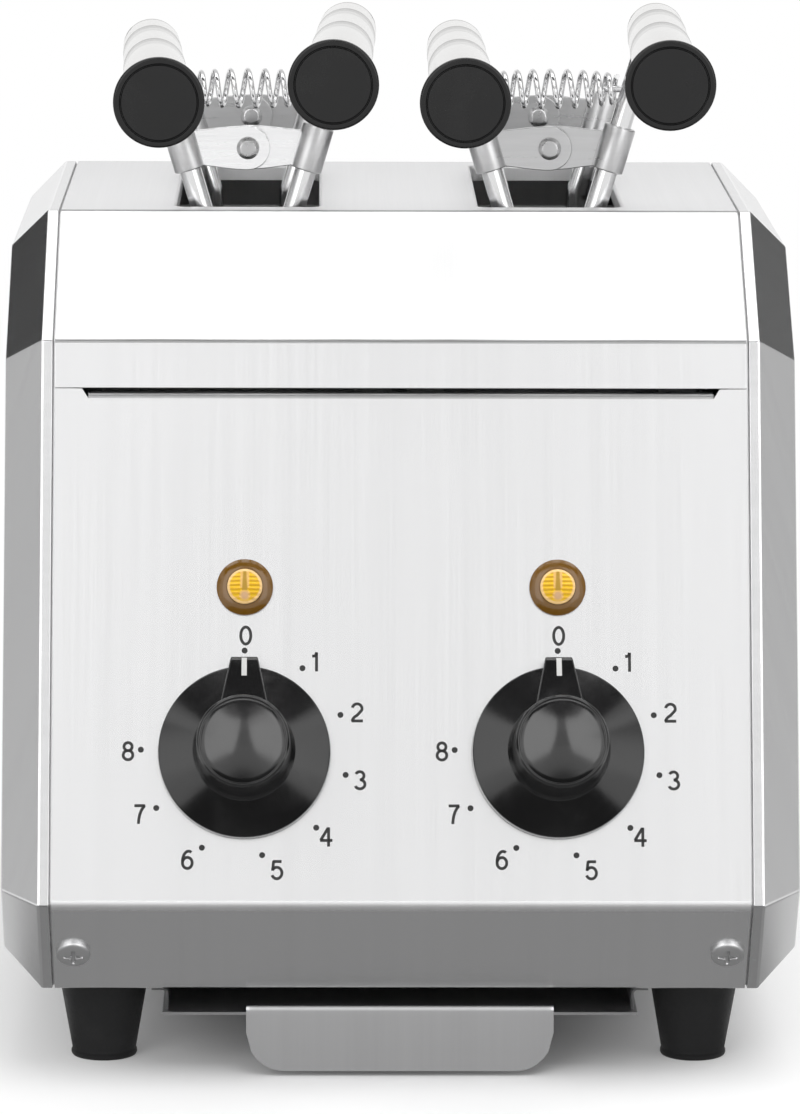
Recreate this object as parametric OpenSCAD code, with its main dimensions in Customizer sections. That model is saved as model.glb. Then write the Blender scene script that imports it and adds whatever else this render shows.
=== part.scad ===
// Two-slot tong toaster: a bent stainless shell with two open slots in its top, a pair of
// lift-out spring tongs, two clockwork timers with pointer knobs, two pilot lamps and a
// crumb tray that slides out at the front.
// Millimetres, +Z up, front towards -Y, origin on the table under the middle of the whole.

/* [Shell] */
// Width over both side covers
body_w = 227; // [220:1:250]
// Height of the flat top above the table
body_h = 240; // [230:1:260]
// Front-to-back length of the flat top
top_d = 128; // [122:1:140]
// Height of the shoulder under the sloped part of the hood
shoulder_h = 208; // [200:1:216]
// Front-to-back depth at the shoulder
shoulder_d = 220; // [200:1:236]
// Lean of the front and rear panels from upright, in degrees
panel_lean = 18; // [12:0.5:22]
// Height of the bend where the panels turn under
bend_h = 54; // [48:1:60]
// Height of the shell's underside above the table
underside_h = 25; // [24:0.5:30]
// How far the panels turn in below the bend
tuck_in = 21; // [14:0.5:26]
// Thickness of the shell's sheet
sheet = 0.8; // [0.6:0.1:1.2]
// Height of the hood's upright lip
lip_h = 13; // [9:0.5:18]
// Height of the vent slit under the front lip
vent_gap = 1.9; // [1.2:0.1:3]
// Width of the vent slit under the front lip
vent_w = 178.4; // [120:0.2:185]

/* [Side covers] */
// Bevel round the edge of each side cover
cover_bevel = 11; // [8:0.5:14]
// Straight flange between the bevel and the panels
cover_flange = 3; // [2:0.25:5]
// Open joint between the cover and the panels
cover_joint = 0.75; // [0.4:0.05:1]
// Length of the joggled flange that the panels lie on
joggle_w = 6; // [4:0.5:8]

/* [Slots and ovens] */
// Distance between the centres of the two slots
slot_pitch = 88.8; // [88:0.2:94]
// Width of each slot
slot_w = 42; // [40:0.5:46]
// Front-to-back length of each slot
slot_len = 110; // [106:1:116]
// Depth of the rim turned down round each slot
slot_rim = 5; // [3:0.5:8]
// Corner radius of each slot
slot_r = 3; // [2:0.5:6]
// Distance from a slot's centre to its guard wires
guard_off = 31; // [30:0.25:32]
// Diameter of the guard wires
guard_wire = 2; // [1.6:0.1:2.4]
// Distance from a slot's centre to its heaters
heater_off = 36.75; // [36.5:0.05:37]
// Diameter of a quartz heater tube
heater_d = 7.5; // [6:0.25:8]
// Diameter of the ceramic ends of a heater
heater_cap_d = 11; // [9.5:0.25:12]
// Distance from a slot's centre to the face of the outer reflector
reflector_off = 42; // [41.5:0.25:44]
// Half the distance between the two element brackets
bracket_y = 66; // [62:0.5:70]
// Height of the top of the ovens above the table
oven_top = 226; // [215:1:228]

/* [Knobs and lamps] */
// Height of the knob axis on the panel
knob_h = 95.5; // [88:0.5:100]
// Diameter of the knob's skirt
knob_d = 49; // [42:0.5:52]
// Height of the knob over the panel
knob_t = 36; // [30:0.5:42]
// Diameter of the knob's hub at the skirt
hub_d = 28; // [26:0.5:32]
// Diameter of the knob's domed face
dome_d = 25.8; // [20:0.1:26.5]
// Gap between the knob and the panel
knob_gap = 1; // [0.6:0.1:2]
// Diameter of the timer spindle
spindle_d = 6; // [5:0.25:7]
// Diameter of the timer's body
timer_d = 44; // [36:1:48]
// Depth of the timer's body
timer_t = 34; // [26:1:38]
// Height of the lamps on the panel
lamp_h = 140.4; // [134:0.2:155]
// Outside diameter of a lamp's bezel
bezel_d = 15.4; // [13.5:0.1:18]
// Diameter of a lamp's lens
lens_d = 10.5; // [9.5:0.1:11.5]

/* [Tongs] */
// Diameter of the tong rods
rod_d = 6.4; // [5.5:0.1:7]
// Distance between a tong's two rods at the slot
rod_gap = 28; // [26:0.5:30]
// Outward lean of the rods above the slot, in degrees
rod_lean = 16.5; // [13:0.5:18]
// Bend radius of the rods
rod_bend = 11; // [9:0.5:14]
// Height of the tong's pivot over the flat top
pivot_rise = 16.5; // [14:0.5:20]
// Distance between the front and rear legs of a tong
leg_span = 91; // [84:1:96]
// Distance from the front end of the slot to the front legs
leg_inset = 8; // [6:0.5:10]
// Depth of the jaws below the pivot
jaw_depth = 192; // [180:1:194]
// Distance between the two closed jaws at their lower ends
jaw_gap = 10; // [9:0.5:14]
// Diameter of the jaw's grid wires
jaw_wire = 2.4; // [2:0.1:3]
// Number of cross wires on a jaw
jaw_wires = 8; // [5:1:10]
// Height of the handles over the pivot
handle_rise = 35; // [31:0.5:38]
// How much higher the right handle of a tong sits than the left one
handle_step = 5; // [0:0.5:6]
// Length of a handle, from the rod's leg to the front of its cap
handle_len = 112; // [95:1:112]
// How far a handle drops towards its front end
handle_drop = 8; // [0:0.5:10]
// How far the left tong's handles turn in towards their front ends
toe_left = 5.25; // [0:0.25:6]
// How far the right tong's handles turn in towards their front ends
toe_right = 1; // [0:0.25:6]
// Diameter of the handle sleeve at the rear
sleeve_rear_d = 16; // [14:0.5:18]
// Diameter of the handle sleeve at the front
sleeve_front_d = 19; // [17:0.5:21]
// Diameter of the handle's end cap
cap_d = 25.3; // [22:0.5:28]
// Thickness of the handle's end cap
cap_t = 9; // [6:0.5:12]
// Thickness of a hinge plate
plate_t = 1.5; // [1:0.1:2]
// Height of a hinge plate at the rivet
plate_h = 13; // [11:0.5:15]
// Diameter of the rivet's shank
rivet_d = 4; // [3.5:0.1:5]
// Diameter of the rivet's heads
rivet_head_d = 6.6; // [6:0.1:8]
// Height of the spring over the pivot
spring_rise = 17.5; // [17:0.25:19]
// Wire diameter of the spring
spring_wire = 1.6; // [1.2:0.1:1.8]
// Diameter of the spring at its middle, to the wire's centre
spring_mid_d = 10.4; // [9:0.2:12]
// Diameter of the spring at its ends, to the wire's centre
spring_end_d = 7.4; // [7:0.1:8.5]
// Number of coils in the spring
spring_coils = 10; // [7:1:12]

/* [Tray and feet] */
// Gap between the crumb tray's lips and the feet
tray_foot_gap = 2.3; // [1.5:0.1:4]
// Height of the tray's floor above the table
tray_h = 17.5; // [16.5:0.5:18]
// Distance of the tray's front edge from the middle of the body
tray_front = 140; // [132:1:146]
// Distance of the tray's rear edge from the middle of the body
tray_rear = 100; // [90:1:110]
// Width of the tray's pull flap
flap_w = 88; // [60:1:110]
// Distance of the flap's lower edge from the table
flap_foot = 1.5; // [1:0.5:4]
// Corner radius of the flap
flap_r = 11; // [6:0.5:13]
// Diameter of the feet at the top
foot_d = 24; // [20:0.5:24]
// Diameter of the feet at the table
foot_tip_d = 18; // [16:0.5:20]
// Distance of the feet from the sides of the body
foot_inset = 28; // [27.5:0.5:29.5]
// Distance of the feet from the middle, front and back
foot_y = 116; // [110:1:117]

/* [Fasteners and inlet] */
// Head diameter of the pan-head screws
screw_head_d = 9.2; // [8:0.1:10]
// Shank diameter of the pan-head screws
screw_d = 4.8; // [3.8:0.1:5]
// Distance of the panel screws from the sides of the body
screw_inset = 20.5; // [20:0.5:37.5]
// Bore of the cable gland
gland_bore_d = 8; // [6:0.25:9]
// Outside diameter of the cable gland
gland_d = 17; // [14:0.5:20]
// Height of the cable gland on the rear panel
gland_h = 100; // [90:1:110]

/* [Clearances] */
// Radial clearance of a running fit
run_clear = 0.05; // [0.02:0.01:0.1]
// Gap between pieces that slide past each other
slide_gap = 0.3; // [0.2:0.05:0.5]
// Gap between fixed pieces that only meet
seat_gap = 0.1; // [0.05:0.05:0.2]

/* [Hidden] */
$fn = 48;
eps = 0.01;

// Colours of the pieces
steel_c = "gainsboro";
bright_c = "silver";
dark_steel_c = "dimgray";
black_c = [0.05, 0.05, 0.05];
amber_c = [0.85, 0.55, 0.1];
bezel_c = [0.3, 0.22, 0.08];
rubber_c = [0.08, 0.08, 0.08];
quartz_c = "lavender";
ceramic_c = "ivory";

// Profile of the shell in the Y-Z plane, the same in front and behind
function panel_y(z) = shoulder_d / 2 + (shoulder_h - z) * tan(panel_lean);
bend_y = panel_y(bend_h);
bottom_y = bend_y - tuck_in;
tuck_lean = atan(tuck_in / (bend_h - underside_h));
function tuck_y(z) = bottom_y + (z - underside_h) * tan(tuck_lean);
half_profile = [[top_d / 2, body_h], [shoulder_d / 2, shoulder_h], [bend_y, bend_h], [bottom_y, underside_h]];
function other_side(p) = [-p.x, p.y];
profile = concat(half_profile, [for (i = [len(half_profile) - 1:-1:0]) other_side(half_profile[i])]);

// Outlines moved inwards by a distance; both run clockwise, so inwards is to the right
function right_of(a, b) = let (d = (b - a) / norm(b - a)) [d.y, -d.x];
function mitre(p, n1, n2, d) = p + d * (n1 + n2) / (1 + n1 * n2);
function inset(pts, d) = let (n = len(pts)) [
  for (i = [0:n - 1])
    mitre(pts[i], right_of(pts[(i + n - 1) % n], pts[i]), right_of(pts[i], pts[(i + 1) % n]), d)
];
function beside(pts, d) = let (n = len(pts)) [
  for (i = [0:n - 1])
    mitre(pts[i],
      i > 0 ? right_of(pts[i - 1], pts[i]) : right_of(pts[0], pts[1]),
      i < n - 1 ? right_of(pts[i], pts[i + 1]) : right_of(pts[n - 2], pts[n - 1]), d)
];
function strip(pts, t) = let (inner = beside(pts, t)) concat(pts, [for (i = [len(pts) - 1:-1:0]) inner[i]]);

// Widths across the body
cover_edge_x = body_w / 2 - cover_bevel - cover_flange;
shell_w = 2 * (cover_edge_x - cover_joint);
foot_x = body_w / 2 - foot_inset;
screw_x = body_w / 2 - screw_inset;
joggle_x = cover_edge_x - joggle_w;
base_w = 2 * (joggle_x - 5 * seat_gap);
lip_z = shoulder_h - lip_h;
base_z = underside_h + sheet;
base_top = base_z + sheet;
return_flange = 8;
slot_x = slot_pitch / 2;
screw_drop = 1.5;
screw_z = (bend_h + underside_h) / 2 - screw_drop;
cut_l = 6 * sheet;
screw_head_h = 2.6;
screw_len = 9;

// A polygon drawn in the Y-Z plane and carried across the body
module across(w, pts) {
  rotate([90, 0, 90])
    linear_extrude(w, center = true)
      polygon(pts);
}

// Frame on the front panel at one height: X across, Y up the panel, Z out of it
module on_panel(x, z) {
  translate([x, -panel_y(z), z])
    rotate([90 - panel_lean, 0, 0])
      children();
}

// The same frame on the turned-under strip below the bend
module on_tuck(x, z) {
  translate([x, -tuck_y(z), z])
    rotate([90 + tuck_lean, 0, 0])
      children();
}

module behind() {
  rotate([0, 0, 180])
    children();
}

module rounded_rect(w, l, r) {
  square([w - 2 * r, l], center = true);
  square([w, l - 2 * r], center = true);
  for (x = [-1, 1], y = [-1, 1])
    translate([x * (w / 2 - r), y * (l / 2 - r)])
      circle(r);
}

// Shell

module hood() {
  rear_lip = [panel_y(lip_z), lip_z];
  line = [other_side(rear_lip), other_side(half_profile[1]), other_side(half_profile[0]),
    half_profile[0], half_profile[1], rear_lip];
  color(steel_c)
    difference() {
      union() {
        across(shell_w, strip(line, sheet));
        for (x = [-slot_x, slot_x])
          translate([x, 0, body_h - slot_rim])
            linear_extrude(slot_rim - sheet / 2)
              rounded_rect(slot_w + 2 * sheet, slot_len + 2 * sheet, slot_r + sheet);
      }
      for (x = [-slot_x, slot_x])
        translate([x, 0, body_h - slot_rim - 1])
          linear_extrude(slot_rim + 2)
            rounded_rect(slot_w, slot_len, slot_r);
    }
}

// Bent sheet of the front and rear panels, from under the lip to the return flange below
panel_top = lip_z - 2 * seat_gap;
panel_line = [[-bottom_y + return_flange, underside_h], [-bottom_y, underside_h], [-bend_y, bend_h],
  [-panel_y(panel_top), panel_top]];
bush_wall = 2;
bush_d = spindle_d + 2 * bush_wall;
lamp_step = 0.5;
lamp_stem_d = lens_d - 2 * lamp_step;

module panel_sheet() {
  difference() {
    across(shell_w, strip(panel_line, sheet));
    for (x = [-screw_x, screw_x])
      on_tuck(x, screw_z)
        cylinder(d = screw_d + 2 * seat_gap, h = cut_l, center = true);
  }
}

module front_panel() {
  color(steel_c)
    difference() {
      panel_sheet();
      for (x = [-slot_x, slot_x]) {
        on_panel(x, knob_h)
          cylinder(d = bush_d + 2 * seat_gap, h = cut_l, center = true);
        on_panel(x, lamp_h)
          cylinder(d = lamp_stem_d + 2 * seat_gap, h = cut_l, center = true);
      }
      on_panel(0, panel_top)
        cube([vent_w, 2 * vent_gap, cut_l], center = true);
    }
}

rear_vents = 9;
rear_vent_w = 3;
rear_vent_l = 34;
rear_vent_pitch = 14;
rear_vent_h = 160;
gland_wall = 2;
gland_neck_d = gland_bore_d + 2 * gland_wall;

module rear_panel() {
  color(steel_c)
    difference() {
      behind()
        panel_sheet();
      behind()
        on_panel(0, gland_h)
          cylinder(d = gland_neck_d + 2 * seat_gap, h = cut_l, center = true);
      for (i = [0:rear_vents - 1])
        behind()
          on_panel((i - (rear_vents - 1) / 2) * rear_vent_pitch, rear_vent_h)
            linear_extrude(cut_l, center = true)
              rounded_rect(rear_vent_w, rear_vent_l, rear_vent_w / 2 - eps);
    }
}

// Bevelled end cover with a joggled flange that lies under the hood and the panels
bevel_turn = 45;

module side_cover_sheet() {
  bend_step = sheet * tan(bevel_turn / 2);
  bevel_x = body_w / 2 - cover_bevel;
  difference() {
    hull() {
      translate([(cover_edge_x + bevel_x) / 2, 0, 0])
        across(cover_flange, profile);
      translate([body_w / 2 - eps / 2, 0, 0])
        across(eps, inset(profile, cover_bevel));
    }
    hull() {
      translate([(cover_edge_x + bevel_x - bend_step) / 2, 0, 0])
        across(cover_flange + 2 - bend_step, inset(profile, sheet));
      translate([body_w / 2 - sheet - eps / 2, 0, 0])
        across(eps, inset(profile, cover_bevel + bend_step));
    }
  }
  translate([cover_edge_x + sheet, 0, 0])
    band(2 * sheet, sheet / 2, 2 * sheet + seat_gap);
  translate([cover_edge_x - joggle_w / 2 + eps, 0, 0])
    band(joggle_w, sheet + seat_gap, 2 * sheet + seat_gap);
}

// Cover with clearance for the screws that hold the panels over its inner edge
module side_cover() {
  difference() {
    side_cover_sheet();
    on_tuck(screw_x, screw_z)
      cylinder(d = screw_d + 2 * seat_gap, h = cut_l, center = true);
    behind()
      on_tuck(-screw_x, screw_z)
        cylinder(d = screw_d + 2 * seat_gap, h = cut_l, center = true);
  }
}

// Closed band between two insets of the profile
module band(w, d1, d2) {
  difference() {
    across(w, inset(profile, d1));
    across(w + 2, inset(profile, d2));
  }
}

module side_cover_left() {
  color(steel_c)
    behind()
      side_cover();
}

module side_cover_right() {
  color(steel_c)
    side_cover();
}

crumb_w = 56;
crumb_len = 112;
crumb_r = 2;

module base_plate() {
  color(steel_c)
    difference() {
      translate([-base_w / 2, -bottom_y + sheet, base_z])
        cube([base_w, 2 * (bottom_y - sheet), sheet]);
      for (x = [-slot_x, slot_x])
        translate([x, 0, base_z - 1])
          linear_extrude(sheet + 2)
            rounded_rect(crumb_w, crumb_len, crumb_r);
      at_feet()
        translate([0, 0, base_z - 1])
          cylinder(d = screw_d + 2 * seat_gap, h = sheet + 2);
    }
}

// Ovens

module reflector(x, t) {
  translate([x - t / 2, -bracket_y, base_top])
    cube([t, 2 * bracket_y, oven_top - base_top]);
}

module reflector_left() {
  color(bright_c)
    reflector(-slot_x - reflector_off - sheet / 2, sheet);
}

module reflector_right() {
  color(bright_c)
    reflector(slot_x + reflector_off + sheet / 2, sheet);
}

centre_t = 2;

module reflector_centre() {
  color(bright_c)
    reflector(0, centre_t);
}

heater_rows = 3;
heater_low = 72;
heater_pitch = 58;
function heater_z(i) = heater_low + i * heater_pitch;
bank_x = [-slot_x - heater_off, -slot_x + heater_off, slot_x - heater_off, slot_x + heater_off];
bracket_w = 2 * (slot_x + reflector_off + sheet);
bracket_t = 1;
heater_reach = 9;

module element_bracket() {
  difference() {
    translate([-bracket_w / 2, bracket_y, base_top])
      cube([bracket_w, bracket_t, oven_top - base_top]);
    for (x = bank_x, i = [0:heater_rows - 1])
      translate([x, bracket_y - 1, heater_z(i)])
        rotate([-90, 0, 0])
          cylinder(d = heater_d + 2 * seat_gap, h = bracket_t + 2);
  }
}

module element_brackets() {
  color(bright_c) {
    element_bracket();
    behind()
      element_bracket();
  }
}

// Three quartz tubes, each with a ceramic end on either side of the brackets
module heater_bank(n) {
  color(quartz_c)
    for (i = [0:heater_rows - 1])
      translate([bank_x[n], 0, heater_z(i)])
        rotate([90, 0, 0]) {
          cylinder(d = heater_d, h = 2 * (bracket_y + heater_reach), center = true);
          for (s = [-1, 1])
            translate([0, 0, s * (bracket_y + bracket_t + heater_reach / 2 + seat_gap)])
              cylinder(d = heater_cap_d, h = heater_reach, center = true);
        }
}

guard_wires = 5;
guard_pitch = 25;
pivot_z = body_h + pivot_rise;
jaw_foot_z = pivot_z - jaw_depth - rod_d / 2;
rest_z = jaw_foot_z - slide_gap - guard_wire / 2;
guard_drop = 6;
guard_high = oven_top - guard_drop;
rail_inset = 7;
rail_sink = 1.3;
function guard_y(i) = (i - (guard_wires - 1) / 2) * guard_pitch;

// Wire running from one element bracket to the other
module rail(x, z) {
  translate([x, 0, z])
    rotate([90, 0, 0])
      cylinder(d = guard_wire, h = 2 * bracket_y, center = true, $fn = 24);
}

// Flat wire grille that keeps the tong off one heater bank; out is the side of the slot it is on
module slot_guard(x, out) {
  low = rest_z + 2 * guard_wire;
  color(bright_c) {
    for (i = [0:guard_wires - 1])
      translate([x + out * guard_off, guard_y(i), low])
        cylinder(d = guard_wire, h = guard_high - low, $fn = 24);
    for (z = [low + guard_wire, guard_high - guard_wire])
      rail(x + out * (guard_off + guard_wire / 2), z);
  }
}

// Cross wires on which the jaws stand, on two rails in each oven
module tong_rests() {
  color(bright_c)
    for (x = [-slot_x, slot_x]) {
      for (i = [0:guard_wires - 1])
        translate([x, guard_y(i), rest_z])
          rotate([0, 90, 0])
            cylinder(d = guard_wire, h = 2 * guard_off, center = true, $fn = 24);
      for (s = [-1, 1])
        rail(x + s * (guard_off - rail_inset), rest_z - rail_sink);
    }
}

// Timers, knobs and lamps

// Body behind the panel, with a bush that carries the spindle through it
module timer(x) {
  color(ceramic_c)
    on_panel(x, knob_h)
      difference() {
        union() {
          translate([0, 0, -sheet - timer_t])
            cylinder(d = timer_d, h = timer_t);
          translate([0, 0, -sheet - eps])
            cylinder(d = bush_d, h = sheet + knob_gap / 2);
        }
        translate([0, 0, -sheet - timer_t / 2])
          cylinder(d = spindle_d + 2 * run_clear, h = timer_t);
      }
}

module timer_left() {
  timer(-slot_x);
}

module timer_right() {
  timer(slot_x);
}

spindle_in = timer_t / 2 + sheet - slide_gap;
spindle_out = 18;

module timer_spindle(x) {
  color(bright_c)
    on_panel(x, knob_h)
      translate([0, 0, -spindle_in])
        cylinder(d = spindle_d, h = spindle_in + spindle_out);
}

module timer_spindle_left() {
  timer_spindle(-slot_x);
}

module timer_spindle_right() {
  timer_spindle(slot_x);
}

knob_rim = 3;
knob_dish = 9;
knob_chamfer = 0.6;
rim_round = 0.8;
hub_foot = 1;
dome_round = 1.2;
dome_crown = 2.6;
pointer_base_w = 16;
pointer_base_t = 13.5;
pointer_tip_w = 7.6;
pointer_tip = 1.6;
pointer_tip_t = 8.5;
pointer_round = 1;
dome_r = dome_d / 2;
dome_edge = knob_t - dome_crown - dome_round;
knob_profile = concat(
  [[0, spindle_out + seat_gap], [spindle_d / 2 + run_clear, spindle_out + seat_gap],
    [spindle_d / 2 + run_clear, knob_gap], [knob_d / 2 - knob_chamfer, knob_gap],
    [knob_d / 2, knob_gap + knob_chamfer], [knob_d / 2, knob_gap + knob_rim - rim_round],
    [knob_d / 2 - rim_round, knob_gap + knob_rim], [hub_d / 2 + hub_foot, knob_gap + knob_dish - hub_foot / 2],
    [hub_d / 2, knob_gap + knob_dish + hub_foot]],
  [for (a = [0:15:90]) [dome_r - dome_round + dome_round * cos(a), dome_edge + dome_round * sin(a)]],
  [for (k = [0.8:-0.2:0.1]) [(dome_r - dome_round) * k, knob_t - dome_crown * k * k]],
  [[0, knob_t]]);

// The model is moved back so that the middle of its overall box is over the origin
knob_reach = max([for (p = knob_profile) p.y * cos(panel_lean) + p.x * sin(panel_lean)]);
middle_y = (panel_y(knob_h) + knob_reach - bend_y) / 2;
module placed() {
  translate([0, middle_y, 0])
    children();
}

// Turned knob with a dished skirt and a domed hub, and a tapered pointer that ends past the rim
module knob(x) {
  tip = knob_d / 2 + pointer_tip;
  foot = knob_gap + knob_chamfer;
  color(black_c)
    on_panel(x, knob_h) {
      rotate_extrude($fn = 96)
        polygon(knob_profile);
      intersection() {
        translate([0, 0, foot])
          linear_extrude(knob_t)
            polygon([[-pointer_base_w / 2, spindle_d], [pointer_base_w / 2, spindle_d],
              [pointer_tip_w / 2, tip], [-pointer_tip_w / 2, tip]]);
        rotate([90, 0, 90])
          linear_extrude(2 * pointer_base_w, center = true)
            polygon([[spindle_d, foot], [tip, foot], [tip, knob_gap + pointer_tip_t - pointer_round],
              [tip - pointer_round, knob_gap + pointer_tip_t], [dome_r, knob_gap + pointer_base_t],
              [spindle_d, knob_gap + pointer_base_t]]);
      }
    }
}

module knob_left() {
  knob(-slot_x);
}

module knob_right() {
  knob(slot_x);
}

bezel_t = 3.4;
bezel_seat = 1.2;
lens_t = 2.2;
lamp_depth = 14;
bezel_edge = 1.4;
bezel_chamfer = 1;

module lamp_bezel(x) {
  color(bezel_c)
    on_panel(x, lamp_h)
      rotate_extrude()
        polygon([[0, -lamp_depth], [lamp_stem_d / 2, -lamp_depth], [lamp_stem_d / 2, 0], [bezel_d / 2, 0],
          [bezel_d / 2, bezel_edge], [bezel_d / 2 - bezel_chamfer, bezel_t], [lens_d / 2 + seat_gap, bezel_t],
          [lens_d / 2 + seat_gap, bezel_seat], [0, bezel_seat]]);
}

module lamp_bezel_left() {
  lamp_bezel(-slot_x);
}

module lamp_bezel_right() {
  lamp_bezel(slot_x);
}

module lamp_lens(x) {
  color(amber_c)
    on_panel(x, lamp_h)
      rotate_extrude()
        polygon(concat([[0, bezel_seat], [lens_d / 2, bezel_seat], [lens_d / 2, bezel_t]],
          [for (a = [15:15:90]) [lens_d / 2 * cos(a), bezel_t + lens_t * sin(a)]]));
}

module lamp_lens_left() {
  lamp_lens(-slot_x);
}

module lamp_lens_right() {
  lamp_lens(slot_x);
}

// Crumb tray, runners and feet

tray_lip = 3.2;
tray_w = 2 * (foot_x - foot_d / 2 - tray_lip - tray_foot_gap);
tray_lip_drop = 2;
tray_lip_z = underside_h - tray_lip_drop;
tray_lip_start = 4;
runner_t = 0.8;
runner_half = 92;
runner_flange = 8;
flap_lean = 6;

module crumb_tray() {
  wall = sheet;
  flap_h = tray_h + wall / 2 - flap_foot;
  color(dark_steel_c) {
    translate([-tray_w / 2, -tray_front, tray_h])
      cube([tray_w, tray_front + tray_rear, wall]);
    for (s = [-1, 1]) {
      wall_x = s > 0 ? tray_w / 2 - wall : -tray_w / 2;
      lip_x = s > 0 ? wall_x : wall_x - tray_lip;
      translate([wall_x, -tray_front, tray_h])
        cube([wall, tray_front + tray_rear, tray_lip_z - tray_h + wall]);
      translate([lip_x, -tray_front + tray_lip_start, tray_lip_z])
        cube([tray_lip + wall, tray_front + tray_rear - tray_lip_start, wall]);
    }
    translate([-tray_w / 2, tray_rear - wall, tray_h])
      cube([tray_w, wall, tray_lip_z - tray_h + wall]);
    translate([0, -tray_front + wall / 2, tray_h + wall / 2])
      rotate([90 - flap_lean, 0, 0])
        linear_extrude(wall) {
          translate([-flap_w / 2, flap_r - flap_h])
            square([flap_w, flap_h - flap_r]);
          translate([0, flap_r - flap_h])
            rounded_rect(flap_w, 2 * flap_r - eps, flap_r - eps);
        }
  }
}

// Channel fixed under the base plate; the tray's lip rides on its lower flange
module tray_runner(s) {
  web_x = tray_w / 2 + tray_lip + slide_gap;
  low_z = tray_lip_z - slide_gap - runner_t;
  color(bright_c) {
    translate([s > 0 ? web_x : -web_x - runner_t, -runner_half, low_z])
      cube([runner_t, 2 * runner_half, base_z - low_z]);
    translate([s > 0 ? web_x - tray_lip + slide_gap : -web_x - runner_t, -runner_half, low_z])
      cube([tray_lip - slide_gap + runner_t, 2 * runner_half, runner_t]);
    translate([s > 0 ? web_x : -web_x - runner_flange, -runner_half, base_z - runner_t])
      cube([runner_flange, 2 * runner_half, runner_t]);
  }
}

module tray_runner_left() {
  tray_runner(-1);
}

module tray_runner_right() {
  tray_runner(1);
}

module at_feet() {
  for (x = [-foot_x, foot_x], y = [-foot_y, foot_y])
    translate([x, y, 0])
      children();
}

foot_web = 6;
foot_seat = base_z - foot_web;
head_room = 0.7;
foot_recess_d = screw_head_d + 2 * head_room;
foot_bead = 0.8;
foot_bead_h = 2;
foot_edge = 0.6;
foot_screw_past = 3;

module feet() {
  color(rubber_c)
    at_feet()
      rotate_extrude()
        polygon([[foot_recess_d / 2, 0], [foot_tip_d / 2, 0], [foot_tip_d / 2 + foot_bead, foot_bead],
          [foot_tip_d / 2, foot_bead_h], [foot_d / 2, base_z - foot_edge], [foot_d / 2 - foot_edge, base_z],
          [screw_d / 2 + seat_gap, base_z], [screw_d / 2 + seat_gap, foot_seat],
          [foot_recess_d / 2, foot_seat]]);
}

screw_point = 0.7;
head_edge = 1.2;
head_round = 0.9;
head_crown = 0.4;

module pan_screw(l) {
  rotate_extrude()
    polygon([[0, -l], [screw_d / 2 - screw_point, -l], [screw_d / 2, -l + screw_point], [screw_d / 2, 0],
      [screw_head_d / 2, 0], [screw_head_d / 2, head_edge],
      [screw_head_d / 2 - head_round, screw_head_h - head_crown],
      [screw_head_d / 4, screw_head_h], [0, screw_head_h]]);
}

// Cross recess of a screw head, sunk from its top
recess_l = 5;
recess_w = 1.3;
recess_t = 1.6;

module crosshead_screw(l) {
  difference() {
    pan_screw(l);
    for (a = [0, 90])
      rotate([0, 0, a])
        translate([0, 0, screw_head_h])
          cube([recess_l, recess_w, 2 * recess_t], center = true);
  }
}

// Pan-head screws of the feet and of the two panels
module screws() {
  color(bright_c) {
    at_feet()
      translate([0, 0, foot_seat])
        rotate([180, 0, 0])
          crosshead_screw(base_top - foot_seat + foot_screw_past);
    for (x = [-screw_x, screw_x]) {
      on_tuck(x, screw_z)
        crosshead_screw(screw_len);
      behind()
        on_tuck(x, screw_z)
          crosshead_screw(screw_len);
    }
  }
}

gland_out = 13;
gland_in = 8;
gland_flange_t = 3;
gland_shoulder = 2;
gland_nose = 3;

module cable_gland() {
  color(black_c)
    behind()
      on_panel(0, gland_h)
        rotate_extrude()
          polygon([[gland_bore_d / 2, -gland_in], [gland_neck_d / 2, -gland_in], [gland_neck_d / 2, 0],
            [gland_d / 2, 0], [gland_d / 2, gland_flange_t],
            [gland_d / 2 - gland_shoulder, gland_flange_t + gland_shoulder / 2],
            [gland_d / 2 - gland_nose, gland_out], [gland_bore_d / 2, gland_out]]);
}

block_l = 44;
block_w = 16;
block_h = 16;
block_poles = 3;
block_gap = 26;
block_hole_d = 4.5;
block_hole_z = 7;

module terminal_block() {
  color(ceramic_c)
    translate([-block_l / 2, bracket_y + block_gap, base_top])
      difference() {
        cube([block_l, block_w, block_h]);
        for (i = [0:block_poles - 1])
          translate([(i + 0.5) * block_l / block_poles, -1, block_hole_z])
            rotate([-90, 0, 0])
              cylinder(d = block_hole_d, h = block_w + 2);
      }
}

// Tongs: in their own frame the pivot runs along Y through the origin

leg_front = -slot_len / 2 + leg_inset;
leg_rear = leg_front + leg_span;
knee_drop = 7;
knee_z = -pivot_rise - knee_drop;
lean_t = tan(rod_lean);
function rod_x(z) = rod_gap / 2 + (pivot_rise + z) * lean_t;
function jaw_x(z) = jaw_gap / 2 + (rod_x(knee_z) - jaw_gap / 2) * (z + jaw_depth) / (knee_z + jaw_depth);

// Height and ends of a handle; the sign is -1 for the left half and 1 for the right
function handle_z(s) = handle_rise + s * handle_step / 2;
function handle_back(s) = [rod_x(handle_z(s)), leg_front, handle_z(s)];
function handle_tip(side, s) = handle_back(s) + [side < 0 ? -toe_left : -toe_right, -handle_len, -handle_drop];

module in_tong(side) {
  translate([side * slot_x, 0, pivot_z])
    children();
}

// The left half is the mirror image of the right one
module half(s) {
  if (s > 0)
    children();
  else
    mirror([1, 0, 0])
      children();
}

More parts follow.
